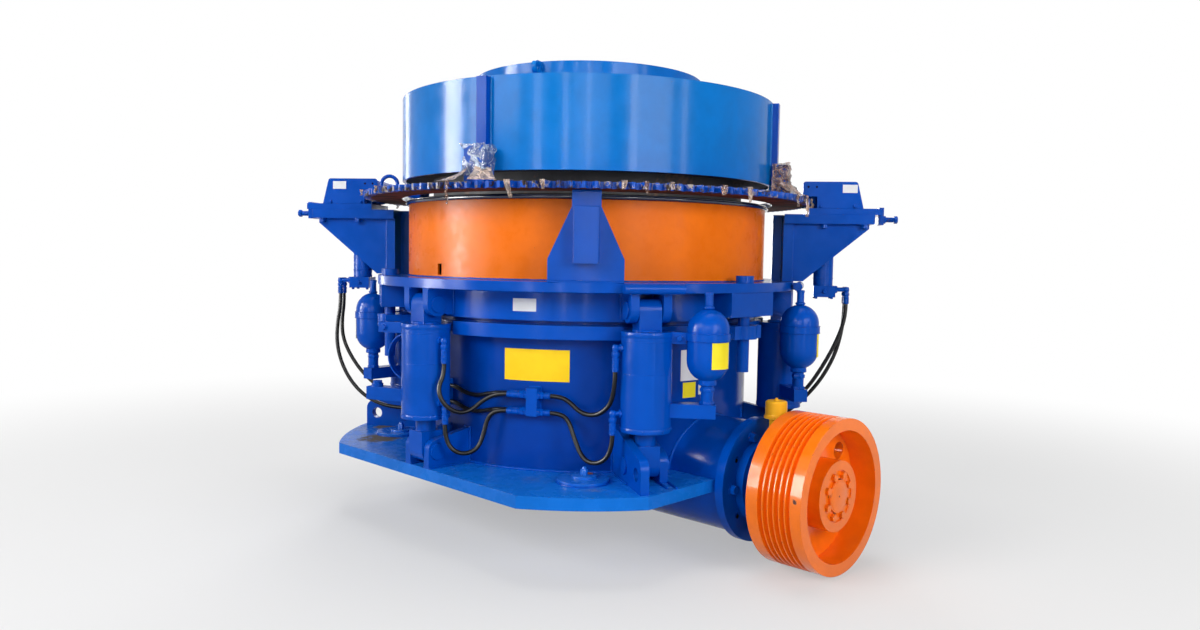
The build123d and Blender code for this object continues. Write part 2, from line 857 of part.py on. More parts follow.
def gear_outline(teeth, shift, steps, phase):
    """Closed outline of a spur gear, first tooth centred at angle phase."""
    pitch = gear_module * teeth / 2
    base = pitch * cos(radians(pressure_angle))
    tip = pitch + gear_module * (1 + shift)
    root = pitch - gear_module * (1.25 - shift)
    width = gear_module * (pi / 2 + 2 * shift * tan(radians(pressure_angle))) - backlash / 2
    half = width / 2 / pitch + involute_angle(base, pitch)
    low = max(root, base)
    radii = [low + (tip - low) * k / steps for k in range(steps + 1)]
    if root < base:
        radii = [root] + radii
    points = []
    for tooth in range(teeth):
        middle = radians(phase) + 2 * pi * tooth / teeth
        flank = [(r, half - involute_angle(base, r)) for r in radii]
        for r, off in flank:
            points.append((r * cos(middle - off), r * sin(middle - off)))
        for r, off in reversed(flank):
            points.append((r * cos(middle + off), r * sin(middle + off)))
    return points


# Drive ring with involute teeth
with BuildPart() as ring_gear:
    with BuildSketch(Plane.XY.offset(gear_bottom)):
        Polygon(*gear_outline(gear_teeth, -tooth_shift, 2, drive_angle), align=None)
        Circle(gear_bore_r, mode=Mode.SUBTRACT)
    extrude(amount=gear_t)
save(ring_gear, "ring_gear")

# Drive pinions, a tooth space of each facing a tooth of the ring
pinion_bottom = slide_top + pinion_hub_h
for name, angle in drive_angles.items():
    with BuildPart() as pinion:
        disc(level(0, angle, drive_r), pinion_hub_r, slide_top, pinion_bottom)
        with BuildSketch(level(pinion_bottom, angle, drive_r)):
            Polygon(*gear_outline(pinion_teeth, tooth_shift, 4, 180 + 180 / pinion_teeth), align=None)
        extrude(amount=pinion_h)
    save(pinion, "pinion_" + name)

# Drive dogs on the ring, one around each bar of the drum
slot_out = drum_r + bar_out + bar_room
slot_half = bar_half + bar_room
with BuildPart() as drive_dogs:
    for angle in bar_angles:
        block(level(0, angle), dog_in, dog_out, -dog_half, dog_half, gear_top, gear_top + dog_h)
        block(level(0, angle), dog_in - 1, slot_out, -slot_half, slot_half, gear_top - 1,
              gear_top + dog_h + 1, Mode.SUBTRACT)
save(drive_dogs, "drive_dogs")

# Lifting eyes on the ring
with BuildPart() as lifting_eyes:
    for angle in eye_angles:
        with Locations(along(angle, gear_top + eye_rise, eye_at).location):
            Torus(eye_ring_r, eye_wire_r)
        disc(level(0, angle, eye_at), eye_foot_r, gear_top, gear_top + eye_foot_t)
        disc(level(0, angle, eye_at), eye_wire_r + 4, gear_top, gear_top + eye_rise - eye_ring_r)
save(lifting_eyes, "lifting_eyes")

# Cap drum, its deck and the foot that stands on the bowl
drum_in = drum_r - drum_t
with BuildPart() as cap_drum:
    turned([(drum_in, drum_bottom), (drum_r, drum_bottom), (drum_r, drum_top), (drum_in, drum_top)])
save(cap_drum, "cap_drum")

deck_low = drum_top - deck_drop
with BuildPart() as cap_deck:
    turned([(hopper_r, deck_low), (drum_in, deck_low), (drum_in, deck_low + deck_t),
            (hopper_r, deck_low + deck_t)])
save(cap_deck, "cap_deck")

foot_low = drum_bottom + foot_lift
with BuildPart() as drum_foot:
    turned([(foot_in, foot_low), (drum_in, foot_low), (drum_in, foot_low + foot_t),
            (foot_in, foot_low + foot_t)])
save(drum_foot, "drum_foot")

# Bars down the outside of the drum
with BuildPart() as drum_bars:
    for angle in bar_angles:
        block(level(0, angle), drum_r - 3, drum_r + bar_out, -bar_half, bar_half,
              gear_top + bar_lift, drum_top - bar_gap)
    trim(Plane.XY, drum_r, gear_bottom, drum_top)
save(drum_bars, "drum_bars")

# Hopper ring inside the drum, with a lifting lug near its edge
hopper_in = hopper_r - hopper_t
with BuildPart() as hopper_ring:
    turned([(hopper_in, drum_top - hopper_drop), (hopper_r, drum_top - hopper_drop),
            (hopper_r, hopper_top), (hopper_in, hopper_top)])
    with BuildSketch(upright(hopper_lug_angle).offset(-hopper_lug_t / 2)) as lug:
        with Locations((hopper_r - 8 + hopper_lug_r / 2, hopper_top - hopper_lug_r)):
            Rectangle(hopper_lug_r + 16, 2 * hopper_lug_r)
        with Locations((hopper_r + hopper_lug_r, hopper_top - hopper_lug_r)):
            Circle(hopper_lug_r)
            Circle(hopper_lug_hole_r, mode=Mode.SUBTRACT)
    extrude(lug.sketch, amount=hopper_lug_t)
    trim(Plane.XY, hopper_in, deck_low, hopper_top + 1)
save(hopper_ring, "hopper_ring")

# Bowl inside the ring, and its liner
bowl_in = bowl_r - bowl_wall
neck_in = bowl_r - bowl_neck
bowl_low = ring_bottom + bowl_lift_gap
with BuildPart() as bowl:
    turned([(bowl_in, bowl_low), (bowl_r, bowl_low), (bowl_r, foot_low), (neck_in, foot_low),
            (neck_in, ring_top + neck_rise), (bowl_in, ring_top)])
save(bowl, "bowl")

with BuildPart() as bowl_liner:
    turned([(bowl_in, bowl_low), (bowl_in, ring_top), (bowl_in - liner_lean, liner_top),
            (bowl_in - liner_lean - liner_t, liner_top), (bowl_in - liner_t, ring_top - 60),
            (bowl_in - 20, bowl_low)])
save(bowl_liner, "bowl_liner")

# Crushing head, the mantle around it and the feed plate on top
mantle_low = hub_top + 230
mantle_edge = mantle_low + 60
mantle_high = head_top
mid_r = (mantle_low_r + mantle_top_r) / 2 + mantle_belly
with BuildPart() as crushing_head:
    turned([(0, hub_top), (head_skirt_r, hub_top), (head_skirt_r, mantle_low - 80),
            (mantle_low_r - mantle_t, mantle_low), (mantle_low_r - mantle_t, mantle_edge),
            (mid_r - mantle_t, ring_top), (mantle_top_r - mantle_t, mantle_high), (0, mantle_high)])
save(crushing_head, "crushing_head")

with BuildPart() as mantle:
    turned([(mantle_low_r - mantle_t, mantle_low), (mantle_low_r, mantle_low),
            (mantle_low_r, mantle_edge), (mid_r, ring_top), (mantle_top_r, mantle_high),
            (mantle_top_r - mantle_t, mantle_high), (mid_r - mantle_t, ring_top),
            (mantle_low_r - mantle_t, mantle_edge)])
save(mantle, "mantle")

with BuildPart() as feed_plate:
    turned([(0, mantle_high), (mantle_top_r - 20, mantle_high), (feed_plate_r, mantle_high + feed_plate_t),
            (0, mantle_high + feed_plate_t + 10)])
save(feed_plate, "feed_plate")

# Lifting bars on the rim of the ring
with BuildPart() as lifting_bars:
    for angle in lift_bar_angles:
        disc(along(angle, lift_bar_z, lift_bar_at), lift_bar_r, -lift_bar_len / 2, lift_bar_len / 2)
        block(level(0, angle), ring_flange_r - 8, lift_bar_at, -lift_post_w / 2, lift_post_w / 2,
              lift_bar_z - lift_post_h / 2, lift_bar_z + lift_post_h / 2)
    trim(Plane.XY, ring_flange_r, 0, ring_top)
save(lifting_bars, "lifting_bars")

# Belt pulley rim with its belt grooves
rim_points = [(pulley_out, pulley_rim_in), (pulley_out, pulley_r)]
first_groove = pulley_in + rear_land + groove_pitch / 2
for k in reversed(range(groove_count)):
    middle = first_groove + k * groove_pitch
    rim_points += [(middle + groove_top, pulley_r), (middle + groove_root, pulley_r - groove_deep),
                   (middle - groove_root, pulley_r - groove_deep), (middle - groove_top, pulley_r)]
rim_points += [(pulley_in, pulley_r), (pulley_in, pulley_rim_in)]
with BuildPart() as belt_pulley:
    with BuildSketch(Plane(origin=(0, 0, shaft_z), x_dir=(1, 0, 0), z_dir=(0, -1, 0))):
        Polygon(*rim_points, align=None)
    revolve(axis=Axis((0, 0, shaft_z), (1, 0, 0)))
save(belt_pulley, "belt_pulley")

# Pulley hub and web
web_in = pulley_in + web_back
hub_face = pulley_out - hub_face_drop
with BuildPart() as pulley_hub:
    disc(shaft_plane, pulley_rim_in, web_in, web_in + web_t)
    with BuildSketch(shaft_plane.offset(web_in - 1)) as holes:
        with PolarLocations(web_hole_at, 4, start_angle=45):
            Circle(web_hole_r)
    extrude(holes.sketch, amount=web_t + 2, mode=Mode.SUBTRACT)
    disc(shaft_plane, pulley_hub_r, pulley_in + hub_back, hub_face)
    disc(shaft_plane, bush_r, hub_face - bush_drop, hub_face + 1, Mode.SUBTRACT)
    disc(shaft_plane, shaft_r, pulley_in, pulley_out, Mode.SUBTRACT)
save(pulley_hub, "pulley_hub")

# Countershaft
with BuildPart() as countershaft:
    disc(shaft_plane, shaft_r, shaft_in, hub_face + shaft_end_out)
save(countershaft, "countershaft")

# Blocks on the shell that the hoses end in, with their fitting bars
with BuildPart() as hose_manifolds:
    block(level(0, manifold_angle), shell_r - 8, manifold_out, -manifold_half, manifold_half,
          manifold_low, manifold_high)
    block(level(0, junction_angle), shell_r - 8, junction_out, -junction_half, junction_half,
          manifold_low, manifold_high)
    for z in manifold_rows:
        front = Plane(origin=at(manifold_angle, front_row_r, 0, z), z_dir=side(manifold_angle))
        back = Plane(origin=at(manifold_angle, back_row_r, 0, z), z_dir=side(manifold_angle))
        disc(front, ferrule_r, row_left_end, row_right_end)
        disc(back, ferrule_r, row_left_end, 0)
    for angle in drive_angles.values():
        block(level(0, angle), shell_r - 8, junction_out, port_block_from, port_block_to,
              motor_port_z[1] - port_block_room, motor_port_z[0] + port_block_room)
        for shift, z in zip(motor_port_shift, motor_port_z):
            start = at(angle, junction_out - 5, shift, z)
            rod_between(start, at(angle, motor_port_end, shift, z), ferrule_r)
    trim(Plane.XY, shell_r, base_t, rim_bottom)
save(hose_manifolds, "hose_manifolds")


def port(az, hand, reach, z):
    """Point beside a cylinder barrel, on the side that hand gives."""
    return at(az, cyl_r, hand * (barrel_r + reach), z)


# Elbows on the two cylinders beside the manifold and on the drive motors
ported = {270: 1, 330: -1}
motor_face = drive_r + motor_box_out
with BuildPart() as hose_elbows:
    for angle, hand in ported.items():
        for reach, z, foot in ((elbow_high_out, elbow_high_z, ferrule_high),
                               (elbow_low_out, elbow_low_z, ferrule_low)):
            corner = port(angle, hand, reach, z)
            rod_between(port(angle, hand, -8, z), corner, stub_r)
            rod_between(corner + Vector(0, 0, ferrule_r), port(angle, hand, reach, foot), ferrule_r)
        trim(level(0, angle, cyl_r), barrel_r, barrel_bottom, barrel_top)
    for angle in drive_angles.values():
        for shift in motor_elbow_shift:
            corner = at(angle, motor_elbow_at, shift, motor_elbow_z)
            rod_between(at(angle, motor_face, shift, motor_elbow_z), corner, stub_r)
            rod_between(corner + Vector(0, 0, ferrule_r), at(angle, motor_elbow_at, shift, motor_ferrule),
                        ferrule_r)
save(hose_elbows, "hose_elbows")


def hose(name, route):
    """Hose along a route of points, each corner rounded as far as its two runs allow."""
    runs = [(end - start).length for start, end in zip(route, route[1:])]
    bends = []
    for k in range(1, len(route) - 1):
        turn = radians((route[k] - route[k - 1]).get_angle(route[k + 1] - route[k]))
        bends.append(hose_ease * min(runs[k - 1], runs[k]) / tan(turn / 2))
    with BuildPart() as tube:
        with BuildLine() as path:
            FilletPolyline(*route, radius=bends)
        with BuildSketch(toward(route[0], route[1])) as section:
            Circle(hose_r)
        sweep(section.sketch, path=path.wires()[0])
    length = path.wires()[0].length
    filled = tube.part.volume / (pi * hose_r ** 2 * length)
    print(name, "radii", [round(bend) for bend in bends], "length", round(length), "filled", round(filled, 4))
    save(tube, name)


def from_manifold(end, points, finish):
    """Route from a fitting bar of the manifold, by points given from the shell wall, up into a ferrule."""
    way = [at(manifold_angle, front_row_r, end, points[0][2])]
    way += [at(manifold_angle, shell_r + out, shift, z) for out, shift, z in points]
    return way + [finish - Vector(0, 0, hose_lead), finish]


# Hoses from the manifold to the two cylinders beside it
high_row, low_row = manifold_rows
hose("hose_left_upper", from_manifold(row_left_end, [
    (38, -155, high_row), (30, -221, 341), (48, -265, 300), (96, -304, 290), (140, -350, 330),
    (138, -379, 394)], port(270, 1, elbow_high_out, ferrule_high)))
hose("hose_left_lower", from_manifold(row_left_end, [
    (38, -155, low_row), (38, -197, 273), (45, -215, 183), (60, -237, 134), (82, -287, 115),
    (101, -336, 140)], port(270, 1, elbow_low_out, ferrule_low)))
hose("hose_right_upper", from_manifold(row_right_end, [
    (38, 121, high_row), (38, 161, 356), (44, 212, 311), (57, 281, 308), (75, 334, 349),
    (86, 352, 390)], port(330, -1, elbow_high_out, ferrule_high)))
hose("hose_right_lower", from_manifold(row_right_end, [
    (38, 121, low_row), (41, 158, 281), (53, 186, 212), (73, 226, 135), (88, 278, 116),
    (101, 332, 139)], port(330, -1, elbow_low_out, ferrule_low)))

# Supply hoses that lie round the shell between the manifold and the junction
for name, z in (("supply_hose_upper", high_row), ("supply_hose_lower", low_row)):
    hose(name, [at(manifold_angle, back_row_r, row_left_end, z),
                at(manifold_angle, back_row_r, row_left_end - hose_lead, z),
                at(285.3, shell_r + 22, 0, z - 9), at(280.8, shell_r + 17, 0, z - 24),
                at(275.8, shell_r + 16, 0, z - 22),
                at(junction_angle, back_row_r, junction_half + hose_lead, z),
                at(junction_angle, back_row_r, junction_half, z)])

# Hoses from the drive motors down to their ports on the shell
motor_routes = {
    "right": ([(1245, -18, 610), (1208, -15, 519), (1150, -12, 410), (1090, -9, 320), (1010, -7, 245)],
              [(1255, 27, 600), (1231, 30, 498), (1180, 33, 390), (1115, 35, 300), (1030, 37, 215)]),
    "left": ([(1275, -18, 615), (1272, -15, 520), (1230, -12, 425), (1155, -9, 325), (1055, -7, 248)],
             [(1280, 27, 600), (1285, 30, 500), (1263, 33, 400), (1215, 35, 305), (1140, 37, 225),
              (1040, 38, 177)])}
for name, angle in drive_angles.items():
    for number, points in enumerate(motor_routes[name]):
        top = at(angle, motor_elbow_at, motor_elbow_shift[number], motor_ferrule)
        foot = at(angle, motor_port_end, motor_port_shift[number], motor_port_z[number])
        way = [top, top - Vector(0, 0, motor_lead)]
        way += [at(angle, out, shift, z) for out, shift, z in points]
        hose("motor_hose_" + name + "_" + str(number + 1), way + [foot + radial(angle) * port_lead, foot])
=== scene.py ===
"""Studio scene of the cone crusher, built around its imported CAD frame."""

import bpy
from math import atan2, cos, degrees, hypot, pi, radians, sin, sqrt
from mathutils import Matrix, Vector, noise


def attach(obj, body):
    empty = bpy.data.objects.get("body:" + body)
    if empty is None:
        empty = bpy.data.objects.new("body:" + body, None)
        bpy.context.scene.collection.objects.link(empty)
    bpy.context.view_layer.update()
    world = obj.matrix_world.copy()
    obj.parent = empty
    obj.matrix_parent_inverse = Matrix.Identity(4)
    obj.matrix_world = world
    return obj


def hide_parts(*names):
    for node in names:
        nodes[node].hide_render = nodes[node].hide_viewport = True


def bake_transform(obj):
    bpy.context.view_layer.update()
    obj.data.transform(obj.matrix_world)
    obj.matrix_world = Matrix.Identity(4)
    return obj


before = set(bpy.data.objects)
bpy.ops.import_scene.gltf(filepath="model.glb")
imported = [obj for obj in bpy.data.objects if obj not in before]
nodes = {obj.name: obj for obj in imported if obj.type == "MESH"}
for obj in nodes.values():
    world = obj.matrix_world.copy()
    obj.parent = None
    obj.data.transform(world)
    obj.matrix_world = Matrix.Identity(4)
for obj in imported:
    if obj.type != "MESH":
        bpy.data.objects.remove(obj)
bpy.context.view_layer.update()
MM = 0.001

# Places of the solids that the added pieces sit on, in millimetres and degrees.
# Angles of what stands round the machine; a lug's second value is the side it is on
CYLINDERS = (30, 90, 150, 210, 270, 330)
CORNERS = (45, 135, 225, 315)
SUPPORTS = (135, 315)
DRIVES = (38, 218)
DOGS = (26.6, 107.3, 206.6, 287.3)
RIGHT_DOG, FRONT_DOG = DOGS[0], DOGS[3]
LONG_LUGS = ((330, -1), (30, 1), (150, -1), (210, 1))
# Frame: shell wall, weld line on it, weld height on the flange
SHELL_R = 790
WELD_R = 792
FLANGE_WELD_Z = 53
# Cylinders, and the accumulators beside them
CYLINDER_R = 956
BARREL_R = 102.5
ACC_OUT, ACC_SIDE = 97, 223
ACC_HANDS = {330: 1, 30: -1, 90: 1, 150: -1, 210: 1}
CLAMP_Z = 635
# Countershaft
SHAFT_Z = 22
BOX_FACE_X = 1058
BOX_BOLT_R = 201
HUB_FACE_X = 1428
BUSH_BOLT_R = 86
# Hose ends: manifold block, motors, ports on the shell
MANIFOLD_AZ = 300
MANIFOLD_ROWS = (375, 305)
FRONT_ROW, BACK_ROW = 828, 802
ROW_LEFT, ROW_RIGHT = -110, 78
MOTOR_PORTS = (-20, 24)
MOTOR_PORT_OUT = 1265
FERRULE_FOOT_Z = 745
SHELL_PORTS = ((-6, 215), (38, 165))
# Drives, adjustment ring, drum deck and the top of the ring's teeth
MOTOR_R = 1155
GUARD_SIDE = 119
RING_TOP, RING_FOOT = 852, 808
DECK_Z = 1631
TEETH_TOP = 1240
# Directions
X_WAY = Vector((1, 0, 0))
Z_UP = Vector((0, 0, 1))
DOWN = Vector((0, 0, -1))


# Places. Angles are counter-clockwise from +X, lengths in millimetres

def radial(az):
    """Unit vector pointing outward at angle az."""
    return Vector((cos(radians(az)), sin(radians(az)), 0))


def side(az):
    """Unit vector pointing sideways (counter-clockwise) at angle az."""
    return Vector((-sin(radians(az)), cos(radians(az)), 0))


def at(az, out, shift, z):
    """Point given by an angle, a distance outward, a sideways shift and a height."""
    return radial(az) * out + side(az) * shift + Vector((0, 0, z))


def place(origin, up, across=None):
    """Origin and three axes, the last one along up."""
    up = Vector(up).normalized()
    across = up.orthogonal() if across is None else Vector(across)
    across = (across - up * across.dot(up)).normalized()
    return Vector(origin), across, up.cross(across), up


def put(spot, x, y, z):
    """Point in a place's own axes."""
    return spot[0] + spot[1] * x + spot[2] * y + spot[3] * z


def on_shaft(x, radius, degrees_up):
    """Point round the countershaft's axis."""
    turn = radians(degrees_up)
    return Vector((x, radius * cos(turn), SHAFT_Z + radius * sin(turn)))


def bottle(az):
    """Point on the floor under the accumulator beside the cylinder at angle az."""
    return at(az, CYLINDER_R + ACC_OUT, ACC_HANDS[az] * ACC_SIDE, 0)


# Camera fitted to the photograph
camera_data = bpy.data.cameras.new("camera")
camera_data.lens = 26.98
camera_data.shift_x = -0.0019
camera_data.shift_y = 0.0027
camera = bpy.data.objects.new("camera", camera_data)
camera.location = (3.18784, -3.16636, 0.94593)
camera.rotation_euler = (radians(86.1651), radians(-0.928), radians(44.2153))
bpy.context.collection.objects.link(camera)
bpy.context.scene.camera = camera


# Material nodes

def add(tree, kind, inputs=None, **settings):
    """New node with its settings, its values and its links."""
    made = tree.nodes.new(kind)
    for key, value in settings.items():
        setattr(made, key, value)
    for key, value in (inputs or {}).items():
        if isinstance(value, bpy.types.NodeSocket):
            tree.links.new(value, made.inputs[key])
        else:
            made.inputs[key].default_value = value
    return made


def maths(tree, operation, a, b=0.0):
    """One sum of two values."""
    return add(tree, "ShaderNodeMath", {0: a, 1: b}, operation=operation).outputs[0]


def band(tree, value, low, high, start=0.0, end=1.0):
    """Value mapped from one range to another, smooth at both ends."""
    ranges = {"Value": value, "From Min": low, "From Max": high, "To Min": start, "To Max": end}
    return add(tree, "ShaderNodeMapRange", ranges, interpolation_type="SMOOTHSTEP").outputs[0]


def cloud(tree, where, scale, detail=3.0, rough=0.55, warp=0.0):
    """Noise of a size given by scale, in cells a metre."""
    return add(tree, "ShaderNodeTexNoise", {"Vector": where, "Scale": scale, "Detail": detail,
                                            "Roughness": rough, "Distortion": warp}).outputs[0]


def mixed(tree, factor, a, b):
    """Colour between two colours."""
    inputs = {0: factor, 6: colour4(a), 7: colour4(b)}
    return add(tree, "ShaderNodeMix", inputs, data_type="RGBA").outputs[2]


def colour4(colour):
    """Colour with its alpha, or a socket as it is."""
    if isinstance(colour, bpy.types.NodeSocket):
        return colour
    return (colour[0], colour[1], colour[2], 1.0)


def scaled(colour, factor):
    """Colour made lighter or darker."""
    return tuple(min(1.0, c * factor) for c in colour)


def new_material(name):
    """Material with its tree, its shader and the object's own coordinates."""
    made = bpy.data.materials.new(name)
    made.use_nodes = True
    tree = made.node_tree
    where = add(tree, "ShaderNodeTexCoord").outputs["Object"]
    return made, tree, tree.nodes["Principled BSDF"], where


def plug(tree, shader, **sockets):
    """Values and links of the shader's own sockets, named with underscores for blanks."""
    for key, value in sockets.items():
        socket = shader.inputs[key.replace("_", " ")]
        if isinstance(value, bpy.types.NodeSocket):
            tree.links.new(value, socket)
        else:
            socket.default_value = value


def relief(tree, height, depth, under=None):
    """Bump of a height map, on top of another normal."""
    inputs = {"Height": height, "Distance": depth, "Strength": 1.0}
    if under is not None:
        inputs["Normal"] = under
    return add(tree, "ShaderNodeBump", inputs).outputs[0]


def soft_edges(tree, radius):
    """Normal that rounds the edges, and a mask that is 1 along them."""
    rounded = add(tree, "ShaderNodeBevel", {"Radius": radius}, samples=6).outputs[0]
    plain = add(tree, "ShaderNodeNewGeometry").outputs["Normal"]
    match = add(tree, "ShaderNodeVectorMath", {0: rounded, 1: plain},
                operation="DOT_PRODUCT").outputs["Value"]
    return rounded, band(tree, match, 0.995, 0.93)


def upward(tree):
    """Mask of the faces that look up."""
    normal = add(tree, "ShaderNodeNewGeometry").outputs["Normal"]
    height = add(tree, "ShaderNodeSeparateXYZ", {0: normal}).outputs["Z"]
    return band(tree, height, 0.75, 0.95)


def spot_mask(tree, where, centre, radius):
    """Speckled mask around a point, that thins out towards its rim."""
    away = add(tree, "ShaderNodeVectorMath", {0: where, 1: centre}, operation="DISTANCE").outputs["Value"]
    near = band(tree, away, radius * 1.3, radius * 0.2, 0.0, 0.42)
    speckle = cloud(tree, where, 1.1 / radius, 7, 0.78)
    return band(tree, maths(tree, "ADD", near, speckle), 0.74, 0.86)


BLUE = (0.0, 0.070, 0.44)
ORANGE = (0.94, 0.180, 0.004)
RUST = (0.30, 0.07, 0.025)
GRIME = (0.10, 0.085, 0.07)
BARE = (0.09, 0.07, 0.06)
DUST = (0.16, 0.12, 0.09)


def paint(name, colour, rough=0.2, wear=0.5, dust=0.0, waves=0.0010, coat=0.03, gloss=0.06, spots=()):
    """Sprayed gloss paint: cloudy tone, orange peel, chipped edges and dust on what looks up."""
    made, tree, shader, where = new_material(name)
    tone = cloud(tree, where, 1.6, 4)
    streaks = cloud(tree, where, 14, 5, 0.6)
    factor = maths(tree, "ADD", maths(tree, "MULTIPLY", tone, 0.7), maths(tree, "MULTIPLY", streaks, 0.3))
    colour_now = mixed(tree, band(tree, factor, 0.36, 0.64), scaled(colour, 0.9), scaled(colour, 1.1))
    rounded, edge = soft_edges(tree, 0.0025)
    flakes = cloud(tree, where, 48, 6, 0.7)
    pits = band(tree, cloud(tree, where, 95, 3, 0.6), 0.765 - 0.02 * wear, 0.785)
    chips = maths(tree, "MULTIPLY", edge, band(tree, flakes, 0.62 - 0.06 * wear, 0.66 - 0.06 * wear))
    chips = maths(tree, "MAXIMUM", chips, pits)
    colour_now = mixed(tree, chips, colour_now, BARE)
    rough_now = band(tree, streaks, 0.3, 0.7, rough * 0.75, rough * 1.35)
    if dust > 0:
        drifts = band(tree, cloud(tree, where, 5, 6, 0.65), 0.62 - 0.3 * dust, 0.8)
        veil = maths(tree, "MULTIPLY", upward(tree), drifts)
        grit = band(tree, cloud(tree, where, 130, 4, 0.7), 0.35, 0.6, 0.55, 1.0)
        veil = maths(tree, "MULTIPLY", veil, grit)
        colour_now = mixed(tree, veil, colour_now, DUST)
        rough_now = maths(tree, "MAXIMUM", rough_now, maths(tree, "MULTIPLY", veil, 0.85))
    for centre, radius, stain in spots:
        mask = spot_mask(tree, where, tuple(centre * MM), radius * MM)
        colour_now = mixed(tree, mask, colour_now, stain)
        rough_now = maths(tree, "MAXIMUM", rough_now, maths(tree, "MULTIPLY", mask, 0.8))
    rough_now = maths(tree, "MAXIMUM", rough_now, maths(tree, "MULTIPLY", chips, 0.7))
    swell = relief(tree, cloud(tree, where, 7, 2), waves, rounded)
    peel = relief(tree, cloud(tree, where, 190, 2), 0.00022, swell)
    dents = relief(tree, chips, -0.0006, peel)
    plug(tree, shader, Base_Color=colour_now, Roughness=rough_now, Normal=dents, Specular_IOR_Level=gloss,
         Coat_Weight=coat, Coat_Roughness=0.09)
    return made


blue = paint("blue_paint", BLUE, dust=0.15)
drum_blue = paint("drum_paint", (0.0, 0.170, 0.56), rough=0.16, wear=0.2, waves=0.0008, coat=0.06)
base_blue = paint("base_paint", (0.004, 0.150, 0.62), rough=0.26, wear=0.9, dust=0.30, spots=[
    (at(232, 1010, 0, 50), 170, GRIME), (at(216, 1040, 0, 50), 140, (0.12, 0.10, 0.08))])
pad_blue = paint("pad_paint", (0.004, 0.130, 0.58), rough=0.24, wear=0.8, dust=0.15, gloss=0.2,
                 spots=[(at(315, 895, 25, 64), 34, RUST)])
lug_blue = paint("lug_paint", BLUE, wear=0.9, dust=0.2, spots=[
    (at(330, 1105, -68, 117), 34, RUST), (at(210, 1105, 68, 117), 28, (0.02, 0.02, 0.02))])
orange = paint("orange_paint", ORANGE, rough=0.2, wear=0.8, spots=[
    (Vector((1422, -310, 55)), 16, (0.09, 0.03, 0.015))], waves=0.0006, coat=0.35, gloss=0.15)
shell_orange = paint("shell_orange", (0.98, 0.185, 0.006), rough=0.30, wear=0.2, waves=0.0014, coat=0.0)
yellow = paint("breather_paint", (0.95, 0.45, 0.02), rough=0.35, wear=0.6)
# Darker blue for the frame's shell: painted shade, the shell's shadowed look put into its colour
frame_shade_blue = paint("frame_painted_shade", (0.0, 0.045, 0.32), waves=0.0016)
# Near-black band paint, partly painted shade under the toothed ring
band_paint_and_shade = paint("seat_band_paint_and_shade", (0.003, 0.012, 0.06), rough=0.16, wear=0.2, waves=0.004, coat=0.3, gloss=0.5)


def gear_paint():
    """Blue ring with greasy, film-smeared teeth, and a red-brown underside that is a painted reflection of
    the orange dust shell below.
    """
    made, tree, shader, where = new_material("ring_paint")
    split = add(tree, "ShaderNodeSeparateXYZ", {0: where}).outputs
    flat_point = add(tree, "ShaderNodeCombineXYZ", {"X": split["X"], "Y": split["Y"]}).outputs[0]
    reach = add(tree, "ShaderNodeVectorMath", {0: flat_point}, operation="LENGTH").outputs["Value"]
    tone = cloud(tree, where, 9, 5)
    colour_now = mixed(tree, band(tree, tone, 0.35, 0.65), scaled(BLUE, 0.8), scaled(BLUE, 1.25))
    teeth = band(tree, reach, 1.040, 1.052)
    grease = band(tree, cloud(tree, where, 26, 6, 0.7), 0.50, 0.58)
    smear = band(tree, cloud(tree, where, 17, 6, 0.75, 1.5), 0.54, 0.62)
    colour_now = mixed(tree, maths(tree, "MULTIPLY", teeth, grease), colour_now, (0.045, 0.028, 0.022))
    colour_now = mixed(tree, maths(tree, "MULTIPLY", teeth, smear), colour_now, (0.42, 0.36, 0.32))
    # Faces that look down turn dark red-brown: painted reflection of the orange shell below them, in shade
    normal = add(tree, "ShaderNodeNewGeometry").outputs["Normal"]
    down = band(tree, add(tree, "ShaderNodeSeparateXYZ", {0: normal}).outputs["Z"], -0.7, -0.9)
    underside_reflection = mixed(tree, band(tree, tone, 0.4, 0.6), (0.028, 0.006, 0.004), (0.085, 0.016, 0.009))
    colour_now = mixed(tree, down, colour_now, underside_reflection)
    rounded = soft_edges(tree, 0.0015)[0]
    rough_now = band(tree, cloud(tree, where, 40, 4), 0.35, 0.65, 0.16, 0.5)
    rough_now = maths(tree, "MAXIMUM", rough_now, maths(tree, "MULTIPLY", down, 0.95))
    lumps = relief(tree, cloud(tree, where, 60, 5, 0.7), 0.002, rounded)
    plug(tree, shader, Base_Color=colour_now, Roughness=rough_now, Normal=lumps, Specular_IOR_Level=0.12,
         Coat_Weight=0.0)
    return made


def cast_steel(name, dark, light, rough, metal=0.7):
    """Cast manganese steel: sandy skin with rusty and rubbed patches."""
    made, tree, shader, where = new_material(name)
    tone = cloud(tree, where, 4, 6, 0.65)
    colour_now = mixed(tree, band(tree, tone, 0.35, 0.65), dark, light)
    rusty = band(tree, cloud(tree, where, 7, 6, 0.7, 0.6), 0.55, 0.68)
    colour_now = mixed(tree, rusty, colour_now, (0.10, 0.045, 0.022))
    rounded = soft_edges(tree, 0.003)[0]
    skin = relief(tree, cloud(tree, where, 14, 5), 0.003, rounded)
    sand = relief(tree, cloud(tree, where, 320, 3), 0.0005, skin)
    plug(tree, shader, Base_Color=colour_now, Roughness=band(tree, tone, 0.3, 0.7, rough, rough + 0.25),
         Normal=sand, Metallic=metal)
    return made


def rubber():
    """Black hose cover: semi-gloss, finely pebbled, scuffed grey here and there."""
    made, tree, shader, where = new_material("hose_rubber")
    scuffs = band(tree, cloud(tree, where, 30, 6, 0.7), 0.56, 0.75)
    colour_now = mixed(tree, scuffs, (0.004, 0.004, 0.005), (0.018, 0.018, 0.020))
    weave = relief(tree, cloud(tree, where, 700, 2), 0.0003)
    plug(tree, shader, Base_Color=colour_now, Roughness=band(tree, scuffs, 0, 1, 0.32, 0.6), Normal=weave,
         Specular_IOR_Level=0.22)
    return made


